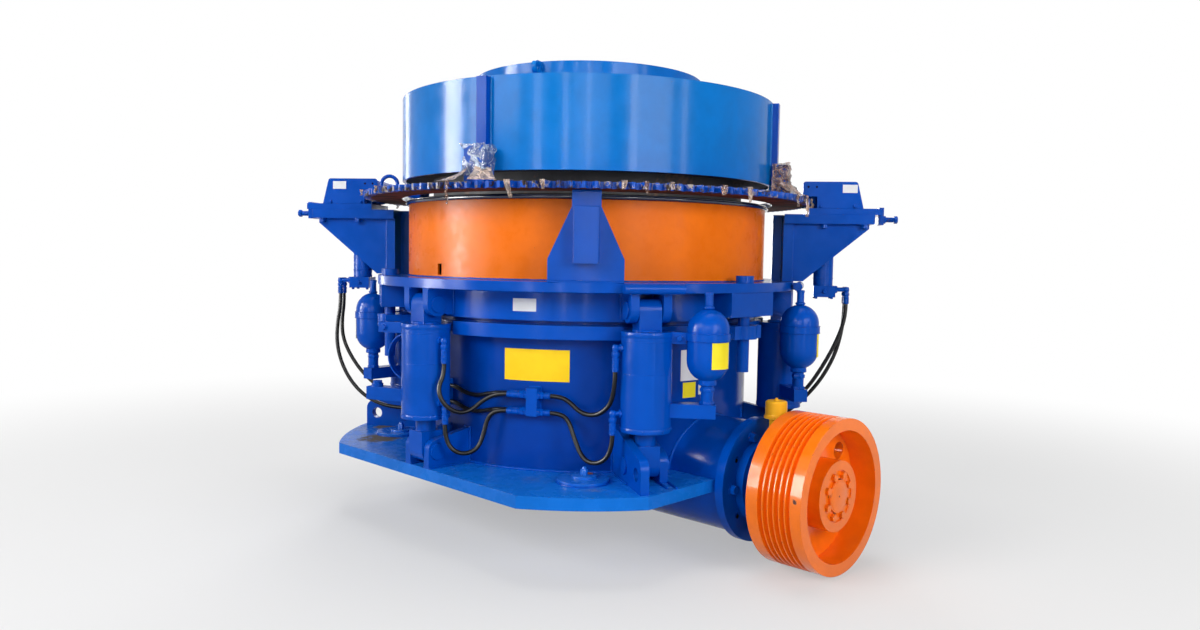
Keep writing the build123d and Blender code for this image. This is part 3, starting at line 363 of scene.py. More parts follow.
def film_material(name, tint, clear):
    """Crumpled clear plastic film: thin places let the paint show, folds are milky."""
    made, tree, shader, where = new_material(name)
    folds = cloud(tree, where, 22, 6, 0.6, 1.2)
    cells = {"Vector": where, "Scale": 17.0}
    creases = add(tree, "ShaderNodeTexVoronoi", cells, feature="DISTANCE_TO_EDGE").outputs[0]
    ridge = band(tree, creases, 0.045, 0.0)
    milky = maths(tree, "MAXIMUM", band(tree, folds, 0.48, 0.70), ridge)
    colour_now = mixed(tree, band(tree, folds, 0.38, 0.66), scaled(tint, 0.45), scaled(tint, 1.25))
    colour_now = mixed(tree, ridge, colour_now, scaled(tint, 1.7))
    bumps = relief(tree, maths(tree, "ADD", folds, maths(tree, "MULTIPLY", ridge, 0.4)), 0.012)
    plug(tree, shader, Base_Color=colour_now, Roughness=0.10, Normal=bumps, Specular_IOR_Level=0.9,
         Alpha=band(tree, milky, 0.0, 1.0, clear, 0.95))
    return made


def plate_material(name, colour):
    """Printed sheet: faint mottling, a little grime and a soft orange peel."""
    made, tree, shader, where = new_material(name)
    tone = cloud(tree, where, 9, 4)
    colour_now = mixed(tree, band(tree, tone, 0.3, 0.7), scaled(colour, 0.95), scaled(colour, 1.04))
    grime = band(tree, cloud(tree, where, 60, 6, 0.7), 0.66, 0.8, 0.0, 0.25)
    colour_now = mixed(tree, grime, colour_now, (0.12, 0.10, 0.08))
    plug(tree, shader, Base_Color=colour_now, Roughness=band(tree, tone, 0.3, 0.7, 0.35, 0.5),
         Normal=relief(tree, cloud(tree, where, 240, 2), 0.0001), Specular_IOR_Level=0.15)
    return made


def void_material():
    """Unlit depth of a drilled hole."""
    made, tree, shader, where = new_material("hole_shadow")
    tone = mixed(tree, cloud(tree, where, 80, 3), (0.001, 0.001, 0.001), (0.006, 0.005, 0.005))
    plug(tree, shader, Base_Color=tone, Roughness=0.9, Specular_IOR_Level=0.05)
    return made


ring_paint = gear_paint()
manganese = cast_steel("manganese_steel", (0.05, 0.05, 0.052), (0.13, 0.125, 0.12), 0.5)
# Near-black steel: painted shade for the bowl, crushing head and drum foot in the dark gap under the drum
bowl_painted_shade = cast_steel("bowl_steel_painted_shade", (0.006, 0.007, 0.010), (0.020, 0.020, 0.024), 0.6, metal=0.1)
hose_rubber = rubber()
film_grey = film_material("film_clear", (0.36, 0.45, 0.58), 0.40)
film_tan = film_material("film_tan", (0.60, 0.44, 0.33), 0.75)
film_brown = film_material("film_brown", (0.34, 0.19, 0.13), 0.65)
sign_yellow = plate_material("sign_yellow", (1.0, 0.63, 0.003))
label_yellow = plate_material("label_yellow", (0.90, 0.76, 0.02))
label_white = plate_material("label_white", (0.78, 0.79, 0.80))
hole_painted_shade = void_material()

# The frame's shell takes the darker blue of painted shade; the bowl, crushing head and drum foot take
# near-black steel of painted shade
looks = {
    "base_flange": base_blue, "anchor_pads": pad_blue, "lower_lugs": lug_blue, "cap_drum": drum_blue,
    "hopper_ring": drum_blue, "dust_shell": shell_orange, "belt_pulley": orange, "pulley_hub": orange,
    "countershaft": orange, "oil_breather": yellow, "ring_gear": ring_paint, "crushing_head": bowl_painted_shade,
    "mantle": manganese, "feed_plate": manganese, "bowl_liner": manganese, "bowl": bowl_painted_shade,
    "drum_foot": bowl_painted_shade, "frame_shell": frame_shade_blue}
for name, node in nodes.items():
    node.data.materials.clear()
    node.data.materials.append(looks.get(name, blue))


# Mesh code for the new pieces

class Heap:
    """Points and faces of one new piece, in millimetres."""

    def __init__(self):
        self.points = []
        self.faces = []

    def loop(self, points):
        """Add a row of points and give their numbers."""
        first = len(self.points)
        self.points += points
        return list(range(first, len(self.points)))

    def skin(self, a, b, closed=True):
        """Faces between two rows of equal length."""
        count = len(a)
        for k in range(count if closed else count - 1):
            n = (k + 1) % count
            self.faces.append((a[k], a[n], b[n], b[k]))

    def solid(self, rows):
        """Faces through rows of points, capped at both ends."""
        for a, b in zip(rows, rows[1:]):
            self.skin(a, b)
        self.faces.append(tuple(reversed(rows[0])))
        self.faces.append(tuple(rows[-1]))

    def lathe(self, spot, profile, count=32):
        """Turned shape about a place's axis, from (radius, height) points; open ends are capped."""
        rows = []
        for r, h in profile:
            rows.append(self.loop([put(spot, r * cos(2 * pi * k / count), r * sin(2 * pi * k / count), h)
                                   for k in range(count)]))
        self.solid(rows)

    def prism(self, spot, outline, low, high, edge=0.0):
        """Flat shape from an outline, between two heights, with an optional bevel on top."""
        centre = [sum(p[i] for p in outline) / len(outline) for i in (0, 1)]
        levels = [(0.0, low), (0.0, high - edge), (edge, high)] if edge else [(0.0, low), (0.0, high)]
        rows = []
        for pull, h in levels:
            row = []
            for x, y in outline:
                away = hypot(x - centre[0], y - centre[1])
                k = 1 - pull / away
                row.append(put(spot, centre[0] + (x - centre[0]) * k, centre[1] + (y - centre[1]) * k, h))
            rows.append(self.loop(row))
        self.solid(rows)

    def tube(self, line, radius, count=14, closed=False, shape=None):
        """Round tube along a line; shape may give the radius at each step."""
        steps = len(line)
        ways = []
        for k in range(steps):
            if closed:
                ways.append((line[(k + 1) % steps] - line[k - 1]).normalized())
            else:
                ways.append((line[min(k + 1, steps - 1)] - line[max(k - 1, 0)]).normalized())
        across = ways[0].orthogonal().normalized()
        rows = []
        for k in range(steps):
            across = (across - ways[k] * across.dot(ways[k])).normalized()
            other = ways[k].cross(across)
            r = radius if shape is None else shape(k)
            turns = [2 * pi * n / count for n in range(count)]
            rows.append(self.loop([line[k] + (across * cos(turn) + other * sin(turn)) * r for turn in turns]))
        if closed:
            for a, b in zip(rows, rows[1:] + rows[:1]):
                self.skin(a, b)
        else:
            self.solid(rows)

    def bead(self, line, radius, closed=False):
        """Weld bead with its ripples along a line."""
        fine = spread(line, radius * 0.8, closed)

        def ripple(k):
            return radius * (0.92 + 0.16 * (k % 2) + 0.22 * noise.noise(fine[k] * 0.05))

        self.tube(fine, radius, 6, closed, ripple)

    def seam(self, az, start, end, radius):
        """Straight weld bead at angle az, its ends given as (outward, sideways, height)."""
        self.bead([at(az, *start), at(az, *end)], radius)

    def sheet(self, rows):
        """Open sheet through rows of points."""
        numbers = [self.loop(row) for row in rows]
        for a, b in zip(numbers, numbers[1:]):
            self.skin(a, b, False)

    def finish(self, name, body, material, crease=38, ride=True):
        """Make the piece, smooth it between its sharp edges and let it ride on a body."""
        mesh = bpy.data.meshes.new(name)
        mesh.from_pydata([p * MM for p in self.points], [], self.faces)
        mesh.validate()
        mesh.shade_smooth()
        mesh.set_sharp_from_angle(angle=radians(crease))
        mesh.materials.append(material)
        piece = bpy.data.objects.new(name, mesh)
        bpy.context.collection.objects.link(piece)
        if ride:
            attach(piece, body)
        return piece


def spread(line, step, closed=False):
    """Points at even steps along a line."""
    ends = line + [line[0]] if closed else line
    made = []
    for a, b in zip(ends, ends[1:]):
        count = max(1, round((b - a).length / step))
        made += [a.lerp(b, k / count) for k in range(count)]
    if not closed:
        made.append(line[-1])
    return made


def arc(spot, radius, start, end, steps):
    """Points round a place's axis between two angles."""
    turns = [radians(start + (end - start) * k / steps) for k in range(steps + 1)]
    return [put(spot, radius * cos(t), radius * sin(t), 0) for t in turns]


def circle(spot, radius, steps):
    """Points all the way round a place's axis, the first one not repeated."""
    return arc(spot, radius, 0, 360, steps)[:-1]


def hoop(z, radius, steps):
    """Level circle round the machine's axis."""
    return circle(place((0, 0, z), Z_UP), radius, steps)


def bolt(heap, origin, up, across=24, washer=True):
    """Hexagon head, chamfered, on its washer."""
    spot = place(origin, up)
    foot = -1.0
    if washer:
        r = across * 0.66
        heap.lathe(spot, [(r, foot), (r, across * 0.10), (r - 1, across * 0.13)], 24)
        foot = across * 0.12
    r = across / sqrt(3)
    top = foot + across * 0.6
    heap.lathe(spot, [(r, foot), (r, top - across * 0.07), (r * 0.88, top)], 6)


def nut_run(heap, start, end, across=28):
    """Hose end between two points: hexagon nut, then a crimped collar with its ridges."""
    way = end - start
    spot = place(start, way)
    whole = way.length
    nut = min(18.0, whole * 0.3)
    r = across / sqrt(3)
    heap.lathe(spot, [(r * 0.9, 0), (r, 2), (r, nut - 2), (r * 0.9, nut)], 6)
    heap.lathe(spot, [(11, nut), (11, nut + 5)], 20)
    profile = [(12.2, nut + 5)]
    ridges = 4
    first = nut + 7
    pitch = (whole - first - 2) / ridges
    for k in range(ridges):
        h = first + k * pitch
        profile += [(14.2, h), (14.2, h + pitch * 0.62), (13.1, h + pitch * 0.7), (13.1, h + pitch * 0.94)]
    profile += [(13.8, whole - 1.5), (11.5, whole + 1.0)]
    heap.lathe(spot, profile, 24)


def plate_on_cylinder(heap, radius, az_start, az_end, low, high, thick, base=Vector((0, 0, 0))):
    """Thin plate bent round an upright wall."""
    steps = 16
    rows = []
    for r, z in ((radius, low), (radius + thick, low), (radius + thick, high), (radius, high)):
        turns = [az_start + (az_end - az_start) * k / steps for k in range(steps + 1)]
        rows.append(heap.loop([base + radial(t) * r + Vector((0, 0, z)) for t in turns]))
    for a, b in zip(rows, rows[1:]):
        heap.skin(a, b, False)
    for k in (0, steps):
        heap.faces.append(tuple(row[k] for row in (rows if k else reversed(rows))))


# Hoses: routes in millimetres, as control points of smooth splines

def smooth_line(points):
    """Points along the spline that has these control points."""
    data = bpy.data.curves.new("route", "CURVE")
    data.dimensions = "3D"
    spline = data.splines.new("NURBS")
    spline.points.add(len(points) - 1)
    for dot, p in zip(spline.points, points):
        dot.co = (*(p * MM), 1)
    spline.order_u = 3
    spline.use_endpoint_u = True
    spline.resolution_u = 14
    route = bpy.data.objects.new("route", data)
    bpy.context.collection.objects.link(route)
    bpy.context.view_layer.update()
    mesh = bpy.data.meshes.new_from_object(route.evaluated_get(bpy.context.evaluated_depsgraph_get()))
    line = [v.co.copy() for v in mesh.vertices]
    bpy.data.objects.remove(route)
    bpy.data.meshes.remove(mesh)
    return line


def hose(name, points, still=False):
    """Hose tube; one that crosses the lift, its fixed end on the main frame, is baked where it lies and rides
    on no body, a still one rides on the main frame.
    """
    line = smooth_line(points)
    heap = Heap()
    heap.tube([p / MM for p in line], 9.5, 20)
    tube = heap.finish(name + "_rubber", "main_frame", hose_rubber, 60, ride=still)
    if not still:
        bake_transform(tube)
    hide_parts(name)


def cylinder_port(az, hand, reach, z):
    """Point beside a cylinder barrel."""
    return at(az, CYLINDER_R, hand * (BARREL_R + reach), z)


def manifold_hose(name, end, route, finish):
    """Hose from a row of the manifold up into a ferrule beside a cylinder."""
    points = [at(MANIFOLD_AZ, FRONT_ROW, end, route[0][2])] + [at(MANIFOLD_AZ, *p) for p in route]
    hose(name, points + [finish - Vector((0, 0, 45)), finish])


manifold_hose("hose_left_upper", ROW_LEFT, [
    (828, -155, 375), (820, -221, 341), (838, -265, 300), (886, -304, 290), (930, -350, 330),
    (928, -379, 394)], cylinder_port(270, 1, 27.5, 498))
manifold_hose("hose_left_lower", ROW_LEFT, [
    (828, -155, 305), (828, -197, 273), (835, -215, 183), (850, -237, 134), (872, -287, 115),
    (891, -336, 140)], cylinder_port(270, 1, 35, 245))
manifold_hose("hose_right_upper", ROW_RIGHT, [
    (828, 121, 375), (828, 161, 356), (834, 212, 311), (847, 281, 308), (865, 334, 349),
    (876, 352, 390)], cylinder_port(330, -1, 27.5, 498))
manifold_hose("hose_right_lower", ROW_RIGHT, [
    (828, 121, 305), (831, 158, 281), (843, 186, 212), (863, 226, 135), (878, 278, 116),
    (891, 332, 139)], cylinder_port(330, -1, 35, 245))
for name, z in zip(("supply_hose_upper", "supply_hose_lower"), MANIFOLD_ROWS):
    hose(name, [
        at(MANIFOLD_AZ, BACK_ROW, ROW_LEFT, z), at(MANIFOLD_AZ, BACK_ROW, -155, z), at(285.3, 812, 0, z - 9),
        at(280.8, 807, 0, z - 24), at(275.8, 806, 0, z - 22), at(266, BACK_ROW, 67, z),
        at(266, BACK_ROW, 22, z)], still=True)
# Length in metres and (outward, sideways, height) points of each drive's two hoses, from the motor down
motor_routes = {
    ("right", 38): (
        (0.741, [(1245, -18, 610), (1208, -15, 519), (1150, -12, 410), (1090, -9, 320), (1010, -7, 245)]),
        (0.791, [(1255, 27, 600), (1231, 30, 498), (1180, 33, 390), (1115, 35, 300), (1030, 37, 215)])),
    ("left", 218): (
        (0.786, [(1275, -18, 615), (1272, -15, 520), (1230, -12, 425), (1155, -9, 325), (1055, -7, 248)]),
        (0.863, [(1280, 27, 600), (1285, 30, 500), (1263, 33, 400), (1215, 35, 305), (1140, 37, 225),
                 (1040, 38, 177)]))}
for (hand, az), pair in motor_routes.items():
    for k, (length, route) in enumerate(pair):
        high = at(az, MOTOR_PORT_OUT, MOTOR_PORTS[k], FERRULE_FOOT_Z)
        foot = at(az, 850, *SHELL_PORTS[k])
        points = [high, high - Vector((0, 0, 55))] + [at(az, *p) for p in route]
        hose(f"motor_hose_{hand}_{k + 1}", points + [foot + radial(az) * 90, foot])


# Hose ends at the manifold block and at the ports on the shell
fittings = Heap()
for z in MANIFOLD_ROWS:
    for out, ends in ((FRONT_ROW, ((-26, ROW_LEFT), (26, ROW_RIGHT))), (BACK_ROW, ((-26, ROW_LEFT),))):
        for inner, outer in ends:
            way = (outer - inner) / abs(outer - inner)
            spot = place(at(MANIFOLD_AZ, out, inner - way * 3, z), side(MANIFOLD_AZ) * way)
            fittings.lathe(spot, [(16, 0), (17, 2), (17, 9), (16, 11)], 6)
            nut_run(fittings, at(MANIFOLD_AZ, out, inner + way * 10, z), at(MANIFOLD_AZ, out, outer, z))
for az in DRIVES:
    for shift, z in SHELL_PORTS:
        nut_run(fittings, at(az, 826, shift, z), at(az, 850, shift, z), 26)
fittings.finish("manifold_fittings", "main_frame", blue)

# Elbows on the two front cylinders and under the motors
elbows = Heap()
bend = [(7, 0), (12.5, 5), (14.5, 13), (13, 22), (8, 28)]
for az, hand in ((270, 1), (330, -1)):
    for reach, z, foot in ((27.5, 592, 498), (35, 330, 245)):
        corner = cylinder_port(az, hand, reach, z)
        nut = place(cylinder_port(az, hand, -4, z), side(az) * hand)
        elbows.lathe(nut, [(15, 0), (16.5, 2), (16.5, 12), (15, 14)], 6)
        elbows.lathe(place(corner - Z_UP * 15, Z_UP), bend, 20)
        nut_run(elbows, corner - Z_UP * 16, Vector((corner.x, corner.y, foot)), 27)
for az in DRIVES:
    for shift in MOTOR_PORTS:
        corner = at(az, MOTOR_PORT_OUT, shift, 812)
        nut = place(at(az, 1207, shift, 812), radial(az))
        elbows.lathe(nut, [(16, 0), (17.5, 2), (17.5, 13), (16, 15)], 6)
        elbows.lathe(place(corner - Z_UP * 15, Z_UP), bend, 20)
        nut_run(elbows, corner - Z_UP * 14, at(az, MOTOR_PORT_OUT, shift, FERRULE_FOOT_Z), 27)
elbows.finish("elbow_fittings", "adjustment_assembly", blue)

# Washers and studs on the anchor pads
anchors = Heap()
for az in CORNERS:
    anchors.lathe(place(at(az, 918, 6, 64), Z_UP), [(52, -1), (52, 8), (50.5, 9.5), (16, 9.5)], 40)
    stud = place(at(az, 922, 4, 73), (0.05, 0.02, 1))
    anchors.lathe(stud, [(15, -2), (15, 22), (13, 25), (12, 25)], 6)
    anchors.lathe(stud, [(9, 20), (9, 31), (7, 34)], 16)
anchors.finish("anchor_studs", "main_frame", pad_blue)

# Bolts of the countershaft box flange, and the jacking holes between them as dark discs of painted shade
flange_bolts = Heap()
for k in range(5):
    bolt(flange_bolts, on_shaft(BOX_FACE_X, BOX_BOLT_R, 110.5 + 72 * k), X_WAY, 36)
flange_bolts.finish("flange_bolts", "main_frame", blue)
jack_holes = Heap()
for k in range(5):
    spot = place(on_shaft(BOX_FACE_X, BOX_BOLT_R, 148.5 + 72 * k), X_WAY)
    jack_holes.lathe(spot, [(9, -0.5), (9, 0.4)], 20)
jack_holes.finish("jack_holes", "main_frame", hole_painted_shade)

# Breather: raised rim and a small valve stem
breather = Heap()
cap = place((1130, 0, 0), Z_UP)
breather.lathe(cap, [(46.5, 303), (46.5, 309), (45, 311)], 40)
breather.lathe(cap, [(12, 366), (12, 369), (9, 371), (6, 371), (6, 376), (4, 378)], 20)
breather.finish("breather_stem", "main_frame", yellow)

# Bolts and end plate of the pulley's bush, then its slots and centre mark as dark sheets of painted shade
bush = Heap()
for k in range(8):
    bolt(bush, on_shaft(HUB_FACE_X - 6, BUSH_BOLT_R, 22.5 + 45 * k), X_WAY, 28, washer=False)
shaft_end = place((HUB_FACE_X + 4, 0, SHAFT_Z), X_WAY)
bush.lathe(shaft_end, [(60, -1), (60, 1.0), (58, 1.6)], 48)
bush.finish("bush_bolts", "pulley_set", orange)
marks = Heap()
marks.lathe(shaft_end, [(3.5, 1.4), (3.5, 1.9)], 16)
for start in (20, 110, 200, 290):
    sunk = put(shaft_end, 0, 0, -9.4), *shaft_end[1:]
    marks.sheet([arc(sunk, r, start, start + 22, 8) for r in (66.3, 69.5)])
marks.finish("bush_slots", "pulley_set", hole_painted_shade)

# Seam rings, base screws and collars of the cylinder barrels
barrels = Heap()
for az in CYLINDERS:
    spot = place(at(az, CYLINDER_R, 0, 0), Z_UP, radial(az))
    for low, high, proud in ((257, 277, 1.6), (490, 493, 0.7), (618, 621, 0.8), (636, 658, 2.0)):
        r = 102.4 + proud
        barrels.lathe(spot, [(101, low), (r - 0.6, low), (r, low + 0.8), (r, high - 0.8), (r - 0.6, high),
                             (101, high)], 72)
    for k in range(8):
        way = radial(az + 22.5 + 45 * k)
        screw = place(at(az, CYLINDER_R, 0, 267) + way * 103.5, way)
        barrels.lathe(screw, [(4.5, -1), (4.5, 1.6), (3.2, 2.2)], 12)
    spot = place(at(az, CYLINDER_R, 0, 658), Z_UP, radial(az))
    barrels.lathe(spot, [(60, -1), (60, 5), (57, 8), (50, 10)], 48)
barrels.finish("barrel_rings", "adjustment_assembly", blue)

# Accumulators and the bolts of their clamp arms
bottles = Heap()
acc_turn = degrees(atan2(ACC_SIDE, ACC_OUT))


def clamp_bolts(az, arm, along):
    """Pair of bolts through a clamp arm."""
    across = arm.cross(Z_UP)
    for hand in (-1, 1):
        bolt(bottles, at(az, CYLINDER_R, 0, CLAMP_Z) + arm * along + across * hand * 25, across * hand, 20)


# Sides and (radius, height) profile of each detail: collar and nuts below, valve cap above, bands between
acc_details = (
    (12, [(33, 449), (36, 451), (36, 461), (33, 463)]),
    (6, [(28, 423), (29.5, 425), (29.5, 437), (28, 439)]),
    (6, [(30, 374), (30, 383), (28, 386)]),
    (24, [(19, 751), (22, 754), (22, 760), (17, 763)]),
    (20, [(18, 806), (18, 814), (14, 817)]),
    (64, [(89, 625.5), (90.5, 626.2), (90.5, 627.8), (89, 628.5)]),
    (64, [(89, 655.5), (90.5, 656.2), (90.5, 657.8), (89, 658.5)]))
for az, hand in ACC_HANDS.items():
    arm = radial(az + hand * acc_turn)
    spot = place(bottle(az), Z_UP, arm)
    for sides, profile in acc_details:
        bottles.lathe(spot, profile, sides)
    clamp_bolts(az, arm, 131)
clamp_bolts(270, radial(270 - acc_turn), 190)
bottles.finish("accumulator_collars", "adjustment_assembly", blue)

# Drive brackets: table bolts, guard screws, adjusting nuts and motor seams
drives = Heap()
# Dark discs of painted shade for the guard's holes
holes = Heap()
for az in DRIVES:
    for shift in (-106, 106):
        for out in (1140, 1325):
            bolt(drives, at(az, out, shift, 1123), DOWN, 28)
    for hand in (-1, 1):
        for out in (1120, 1276):
            bolt(drives, at(az, out, hand * GUARD_SIDE, 1205), side(az) * hand, 13)
        for out in (1060, 1099):
            spot = place(at(az, out, hand * GUARD_SIDE, 1295), side(az) * hand)
            holes.lathe(spot, [(5, -0.5), (5, 0.3)], 20)
    screw = place(at(az, 1422, 0, 1150), radial(az))
    drives.lathe(screw, [(17, 1), (18.5, 3), (18.5, 17), (17, 19)], 6)
    drives.lathe(screw, [(16.5, 57), (18, 59), (18, 72), (16.5, 74)], 6)
    thread = [(11.4, 19)]
    for k in range(12):
        thread += [(12.6, 20.5 + 3 * k), (11.4, 22 + 3 * k)]
    drives.lathe(screw, thread, 20)
    motor = place(at(az, MOTOR_R, 0, 0), Z_UP, radial(az))
    for low, high, r in ((862, 868, 48.5), (925, 928, 48), (986, 992, 48.5), (1045, 1049, 48)):
        drives.lathe(motor, [(46, low), (r, low + 0.5), (r, high - 0.5), (46, high)], 48)
    for k in range(4):
        way = radial(az + 45 + 90 * k)
        bolt(drives, at(az, MOTOR_R, 0, 1093) + way * 55, DOWN, 14)
    for x in (-34, 40):
        for y in (-34, 34):
            bolt(drives, at(az, MOTOR_R + x, y, 775), DOWN, 12)
    for hand in (-1, 1):
        bolt(drives, at(az, 1158, hand * 48, 802), side(az) * hand, 16)
drives.finish("drive_bolts", "adjustment_assembly", blue)
holes.finish("guard_holes", "adjustment_assembly", hole_painted_shade)

# Welds on the main frame
frame_welds = Heap()
frame_welds.bead(arc(place((0, 0, FLANGE_WELD_Z), Z_UP), WELD_R, 20, 340, 240), 7)
saddle_r = 241
tube_line = []
for k in range(61):
    turn = radians(6.7 + (173.3 - 6.7) * k / 60)
    y = saddle_r * cos(turn)
    tube_line.append(Vector((sqrt(791 ** 2 - y * y), y, SHAFT_Z + saddle_r * sin(turn))))
frame_welds.bead(tube_line, 8)
frame_welds.bead(circle(place((1017, 0, SHAFT_Z), X_WAY), 242, 120), 6, True)
for az in CYLINDERS:
    for hand in (-1, 1):
        end, rise = (1095, 250) if (az, hand) in LONG_LUGS else (998, 208)
        for shift in (-hand * 87, -hand * 48):
            frame_welds.seam(az, (786, shift, FLANGE_WELD_Z), (end, shift, FLANGE_WELD_Z), 5)
            frame_welds.seam(az, (787, shift, FLANGE_WELD_Z), (787, shift, rise), 5)
for hand in (-1, 1):
    frame_welds.seam(MANIFOLD_AZ, (WELD_R, hand * 25, 288), (WELD_R, hand * 25, 405), 4)
for z in (406, 287):
    frame_welds.seam(MANIFOLD_AZ, (WELD_R, -24, z), (WELD_R, 24, z), 4)
frame_welds.bead(hoop(610, WELD_R, 240), 6, True)
for az in CORNERS:
    frame_welds.bead(circle(place(at(az, 935, 0, 52), Z_UP), 106, 60), 4, True)
frame_welds.finish("frame_welds", "main_frame", blue, 60)

# Welds on the adjustment ring and what stands on it
ring_welds = Heap()
ring_welds.bead(hoop(RING_TOP, 869, 240), 4, True)
ring_welds.bead(hoop(RING_FOOT, 882, 240), 6, True)
for az in CYLINDERS:
    for shift in (-87, -48, 48, 87):
        ring_welds.seam(az, (878, shift, 700), (878, shift, RING_FOOT), 5)
        ring_welds.seam(az, (880, shift, RING_FOOT), (1006, shift, RING_FOOT), 5)
for az in SUPPORTS:
    ring_welds.seam(az, (1001, -150, RING_TOP), (1001, 150, RING_TOP), 5)
    for hand in (-1, 1):
        ring_welds.seam(az, (1001, hand * 48, 925), (1001, hand * 48, 1140), 3.5)
    ring_welds.seam(az, (1001, -47, 1142), (1001, 47, 1142), 3.5)
    ring_welds.seam(az, (999, -56, 1204), (999, 56, 1204), 4)
table_foot = 1121
for az in DRIVES:
    for z in (RING_TOP, table_foot):
        ring_welds.seam(az, (998, -98, z), (998, 98, z), 5)
    for shift in (-91, -69, 69, 91):
        ring_welds.seam(az, (998, shift, 854), (998, shift, table_foot), 4)
        ring_welds.seam(az, (1000, shift, table_foot), (1346, shift, table_foot), 4)
ring_welds.finish("ring_welds", "adjustment_assembly", blue, 60)

# Dark strip between the dust shell and the toothed ring: a band seen there, its near-black colour partly
# painted shade under the ring
seat_strip = Heap()
seat_strip.tube(hoop(1190, 872, 180), 11, 8, True)
seat_strip.finish("seat_strip", "adjustment_assembly", band_paint_and_shade, 60)

# Welds of the drum: bars, rim, hopper and deck
drum_welds = Heap()
for az in DOGS:
    for hand in (-1, 1):
        drum_welds.seam(az, (897, hand * 26, 1264), (897, hand * 26, 1664), 4.5)
drum_welds.bead(hoop(DECK_Z, 550, 180), 6, True)
drum_welds.bead(hoop(DECK_Z, 880, 240), 6, True)
drum_welds.finish("drum_welds", "bowl_assembly", drum_blue, 60)

dog_welds = Heap()
dog_foot = 1236
for az in DOGS:
    for hand in (-1, 1):
        dog_welds.seam(az, (906, hand * 50, dog_foot), (976, hand * 50, dog_foot), 4)
    dog_welds.seam(az, (978, -48, dog_foot), (978, 48, dog_foot), 4)
dog_welds.finish("dog_welds", "drive_ring", blue, 60)

# Bare sign and label plates, with their thicknesses
SIGN, LABEL = 1.6, 0.8
sign = Heap()
plate_on_cylinder(sign, SHELL_R, 289.8, 310.5, 429, 562, SIGN)
sign.finish("sign_plate", "main_frame", sign_yellow)
shell_labels = Heap()
plate_on_cylinder(shell_labels, SHELL_R, 346.3, 353.5, 425, 558, LABEL)
plate_on_cylinder(shell_labels, SHELL_R, 353.8, 356.6, 360, 415, LABEL)
shell_labels.finish("shell_labels", "main_frame", label_white)
small_yellow = Heap()
plate_on_cylinder(small_yellow, SHELL_R, 347.3, 352.5, 351, 417, LABEL)
small_yellow.finish("shell_label_yellow", "main_frame", label_yellow)
ring_label = Heap()
plate_on_cylinder(ring_label, 880, 295.4, 301.9, 725, 777, LABEL)
for az, hand, out in ((38, -1, 1252), (218, 1, 1230)):
    spot = place(at(az, out, hand * GUARD_SIDE, 1287), side(az) * hand, radial(az))
    ring_label.prism(spot, [(-34, -19), (34, -19), (34, 19), (-34, 19)], -0.5, LABEL, 0.3)
ring_label.finish("ring_labels", "adjustment_assembly", label_white)
acc_label = Heap()
for az, start in ((330, -42), (30, 8), (210, 180)):
    plate_on_cylinder(acc_label, 84, start, start + 60, 521, 624, LABEL, bottle(az))
acc_label.finish("accumulator_labels", "adjustment_assembly", label_yellow)


# Plastic film left on the dogs and the teeth

def crumple(point, size, push):
    """Point pushed outward by folds of a given size."""
    folds = noise.turbulence(point / size, 4, False)
    return point + push * folds


def film(name, rows, material):
    """Sheet of film on the drive ring."""
    crease, least_tall = 16, 0.012
    heap = Heap()
    heap.sheet(rows)
    piece = heap.finish(name, "drive_ring", material, crease)


def dog_wrap(name, az, material, low, high):
    """Film wound round the three outer sides of a dog."""
    corners = [Vector((912, -55)), Vector((984, -55)), Vector((984, 55)), Vector((912, 55))]
    around = []
    for a, b in zip(corners, corners[1:]):
        count = max(5, round((b - a).length / 13))
        around += [a.lerp(b, k / count) for k in range(count)]
    around.append(corners[-1])
    rows = []
    for k in range(13):
        z = low + (high - low) * k / 12
        row = []
        for n, dot in enumerate(around):
            away = Vector((dot.x - 930, dot.y)).normalized()
            push = (radial(az) * away.x + side(az) * away.y) * 15
            wave = Vector((n * 0.7, k * 0.7, az))
            slip = side(az) * 7 * noise.noise(wave * 1.3) + Z_UP * 9 * noise.noise(wave)
            row.append(crumple(at(az, dot.x - 2, dot.y, z) + slip, 26, push))
        rows.append(row)
    film(name, rows, material)


dog_wrap("film_dog_front", FRONT_DOG, film_grey, 1262, 1392)
dog_wrap("film_dog_right", RIGHT_DOG, film_brown, 1250, 1394)


def tent(name, az, top, foot, material):
    """Film stretched from a top edge down to a foot edge, each given by two points."""
    sag = 8
    rows = []
    for k in range(11):
        t = k / 10
        a = top[0].lerp(foot[0], t)
        b = top[1].lerp(foot[1], t)
        row = []
        for n in range(9):
            p = a.lerp(b, n / 8)
            push = radial(az) * (sag * (0.6 + sin(pi * t)))
            row.append(crumple(p, 22, push) - Z_UP * sag * sin(pi * t))
        rows.append(row)
    film(name, rows, material)


for name, az, look in (("front", FRONT_DOG, film_tan), ("right", RIGHT_DOG, film_brown)):
    for tag, hand in (("a", -1), ("b", 1)):
        tent(f"film_tent_{name}_{tag}", az, (at(az, 940, hand * 60, 1300), at(az, 988, hand * 16, 1305)),
             (at(az, 1040, hand * 150, TEETH_TOP + 1), at(az, 1070, hand * 30, TEETH_TOP + 3)), look)


def strip(name, az, width, drop, material, lean):
    """Narrow strip of film that lies on the teeth for its first quarter and then hangs over them."""
    flat = 0.25
    rows = []
    for k in range(23):
        t = k / 22
        fall = max(0.0, t - flat) / (1 - flat)
        out = 1040 + 46 * min(1.0, t / flat) + 3 * sin(9 * t + az)
        z = TEETH_TOP - drop * fall
        row = []
        for n in range(7):
            across = (n / 6 - 0.5) * width * (1 - 0.45 * fall * fall) + lean * fall
            bend = 5 * cos(n * 1.7 + 4 * t)
            row.append(crumple(at(az, out + bend, across, z), 16, radial(az) * 7))
        rows.append(row)
    film(name, rows, material)


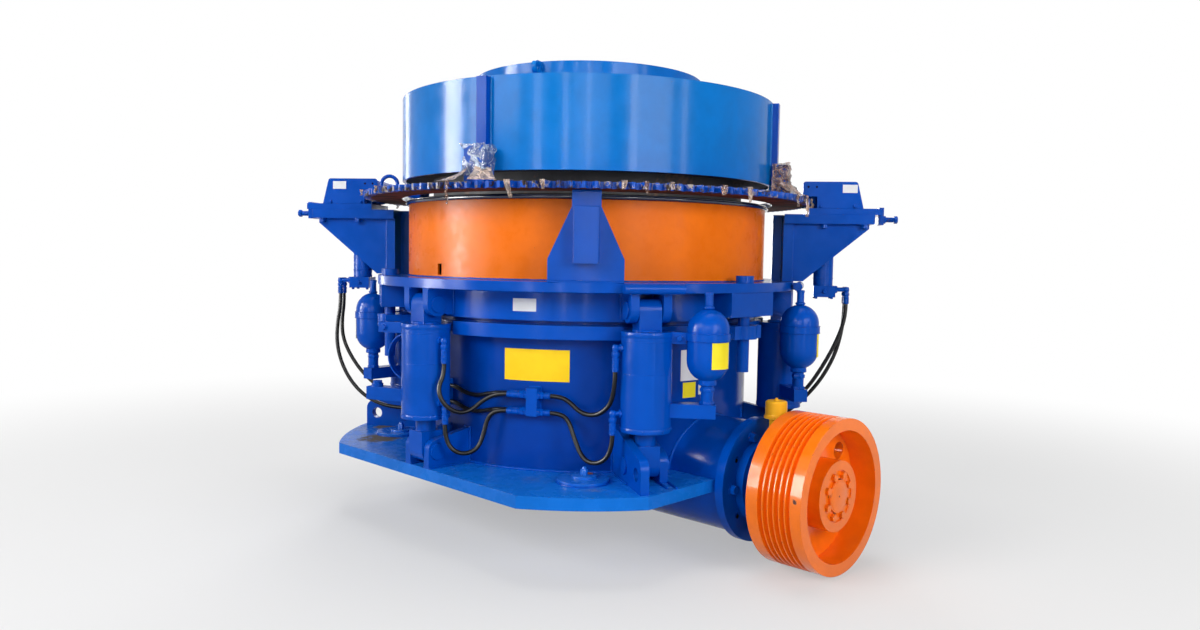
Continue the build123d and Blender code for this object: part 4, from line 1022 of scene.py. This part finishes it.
# Angle, width, drop, material and sideways lean of each strip
strips = [(284.4, 17, 92, film_brown, 5), (298.6, 26, 70, film_tan, 14), (306, 20, 38, film_tan, 4),
          (322.5, 22, 34, film_tan, -3), (327, 16, 46, film_brown, 4), (332.5, 18, 30, film_tan, 2),
          (345, 24, 40, film_brown, -6), (352, 18, 62, film_tan, 3), (12, 20, 58, film_brown, 6),
          (20, 26, 96, film_brown, -5), (33, 16, 44, film_tan, 2), (258, 18, 30, film_tan, 3),
          (243, 16, 26, film_tan, -2), (205, 22, 48, film_brown, 4), (110, 24, 60, film_tan, 5),
          (160, 18, 40, film_tan, -4)]
for k, (az, width, drop, look, lean) in enumerate(strips):
    strip(f"film_strip_{k:02d}", az, width, drop, look, lean)


# Floor just below the pulley's lowest point, and a pale room; lengths in metres from here on

def seen_rays(tree):
    """Value that is 1 for camera, glossy and transmission rays."""
    paths = add(tree, "ShaderNodeLightPath").outputs
    seen = maths(tree, "MAXIMUM", paths["Is Camera Ray"], paths["Is Glossy Ray"])
    return maths(tree, "MAXIMUM", seen, paths["Is Transmission Ray"])


def floor_material():
    """Pale floor that fades into the backdrop far from the object."""
    made, tree, shader, where = new_material("studio_floor")
    plug(tree, shader, Base_Color=(0.60, 0.60, 0.60, 1), Roughness=0.9, Specular_IOR_Level=0.1)
    away = add(tree, "ShaderNodeVectorMath", {0: where}, operation="LENGTH").outputs["Value"]
    factor = maths(tree, "MULTIPLY", band(tree, away, 1.6, 6.0, 0.42, 1.0), seen_rays(tree))
    glow = add(tree, "ShaderNodeEmission", {"Color": (1, 1, 1, 1), "Strength": 1.0}).outputs[0]
    out = add(tree, "ShaderNodeMixShader", {0: factor, 1: shader.outputs[0], 2: glow}).outputs[0]
    tree.links.new(out, tree.nodes["Material Output"].inputs["Surface"])
    return made


def disc_floor(radius, z):
    """Round floor."""
    mesh = bpy.data.meshes.new("floor")
    rim = [(radius * cos(2 * pi * k / 96), radius * sin(2 * pi * k / 96), 0) for k in range(96)]
    mesh.from_pydata(rim, [], [tuple(range(96))])
    mesh.materials.append(floor_material())
    floor = bpy.data.objects.new("floor", mesh)
    floor.location = (0, 0, z)
    bpy.context.collection.objects.link(floor)


disc_floor(60, -0.30)

world = bpy.data.worlds.new("world")
world.use_nodes = True
tree = world.node_tree
backdrop = tree.nodes["Background"]
backdrop.inputs["Color"].default_value = (1, 1, 1, 1)
tree.links.new(band(tree, seen_rays(tree), 0, 1, 0.12, 1.0), backdrop.inputs["Strength"])
bpy.context.scene.world = world


def lamp(name, location, target, width, height, radiance, only_gloss=False):
    """Soft box of a given radiance that looks at a point."""
    data = bpy.data.lights.new(name, "AREA")
    data.shape = "RECTANGLE"
    data.size = width
    data.size_y = height
    data.energy = pi * radiance * width * height
    light = bpy.data.objects.new(name, data)
    light.location = location
    light.rotation_euler = (Vector(target) - Vector(location)).to_track_quat("-Z", "Y").to_euler()
    light.visible_camera = False
    light.visible_diffuse = not only_gloss
    bpy.context.collection.objects.link(light)


lamp("key", (-0.6, -7.0, 3.7), (0, 0, 0.9), 3.2, 2.8, 11.5)
lamp("front", (4.9, -4.6, 2.6), (0, 0, 1.0), 2.2, 1.4, 6.0)
lamp("fill", (6.6, -1.0, 2.5), (0.6, 0, 0.4), 2.2, 2.2, 12.0)
lamp("back", (-5.0, 4.5, 4.2), (0, 0, 0.9), 3.0, 3.0, 8.0)
lamp("top", (0, 0, 6.5), (0, 0, 0.9), 3.6, 3.6, 5.5)
# Angle, width and radiance of the tall soft boxes that only glossy rays see
for az, width, radiance in (
        (-125, 1.4, 60), (-109, 0.9, 22), (-72, 0.45, 16), (-57, 0.2, 26), (-45, 0.2, 18), (-21, 0.45, 24),
        (8, 0.4, 14), (130, 1.2, 14), (180, 0.5, 10)):
    spot = radial(az) * 6.2
    lamp(f"strip_{az}", (spot.x, spot.y, 2.0), (0, 0, 1.6), width, 3.4, radiance, True)
bpy.context.scene.view_settings.view_transform = "Standard"
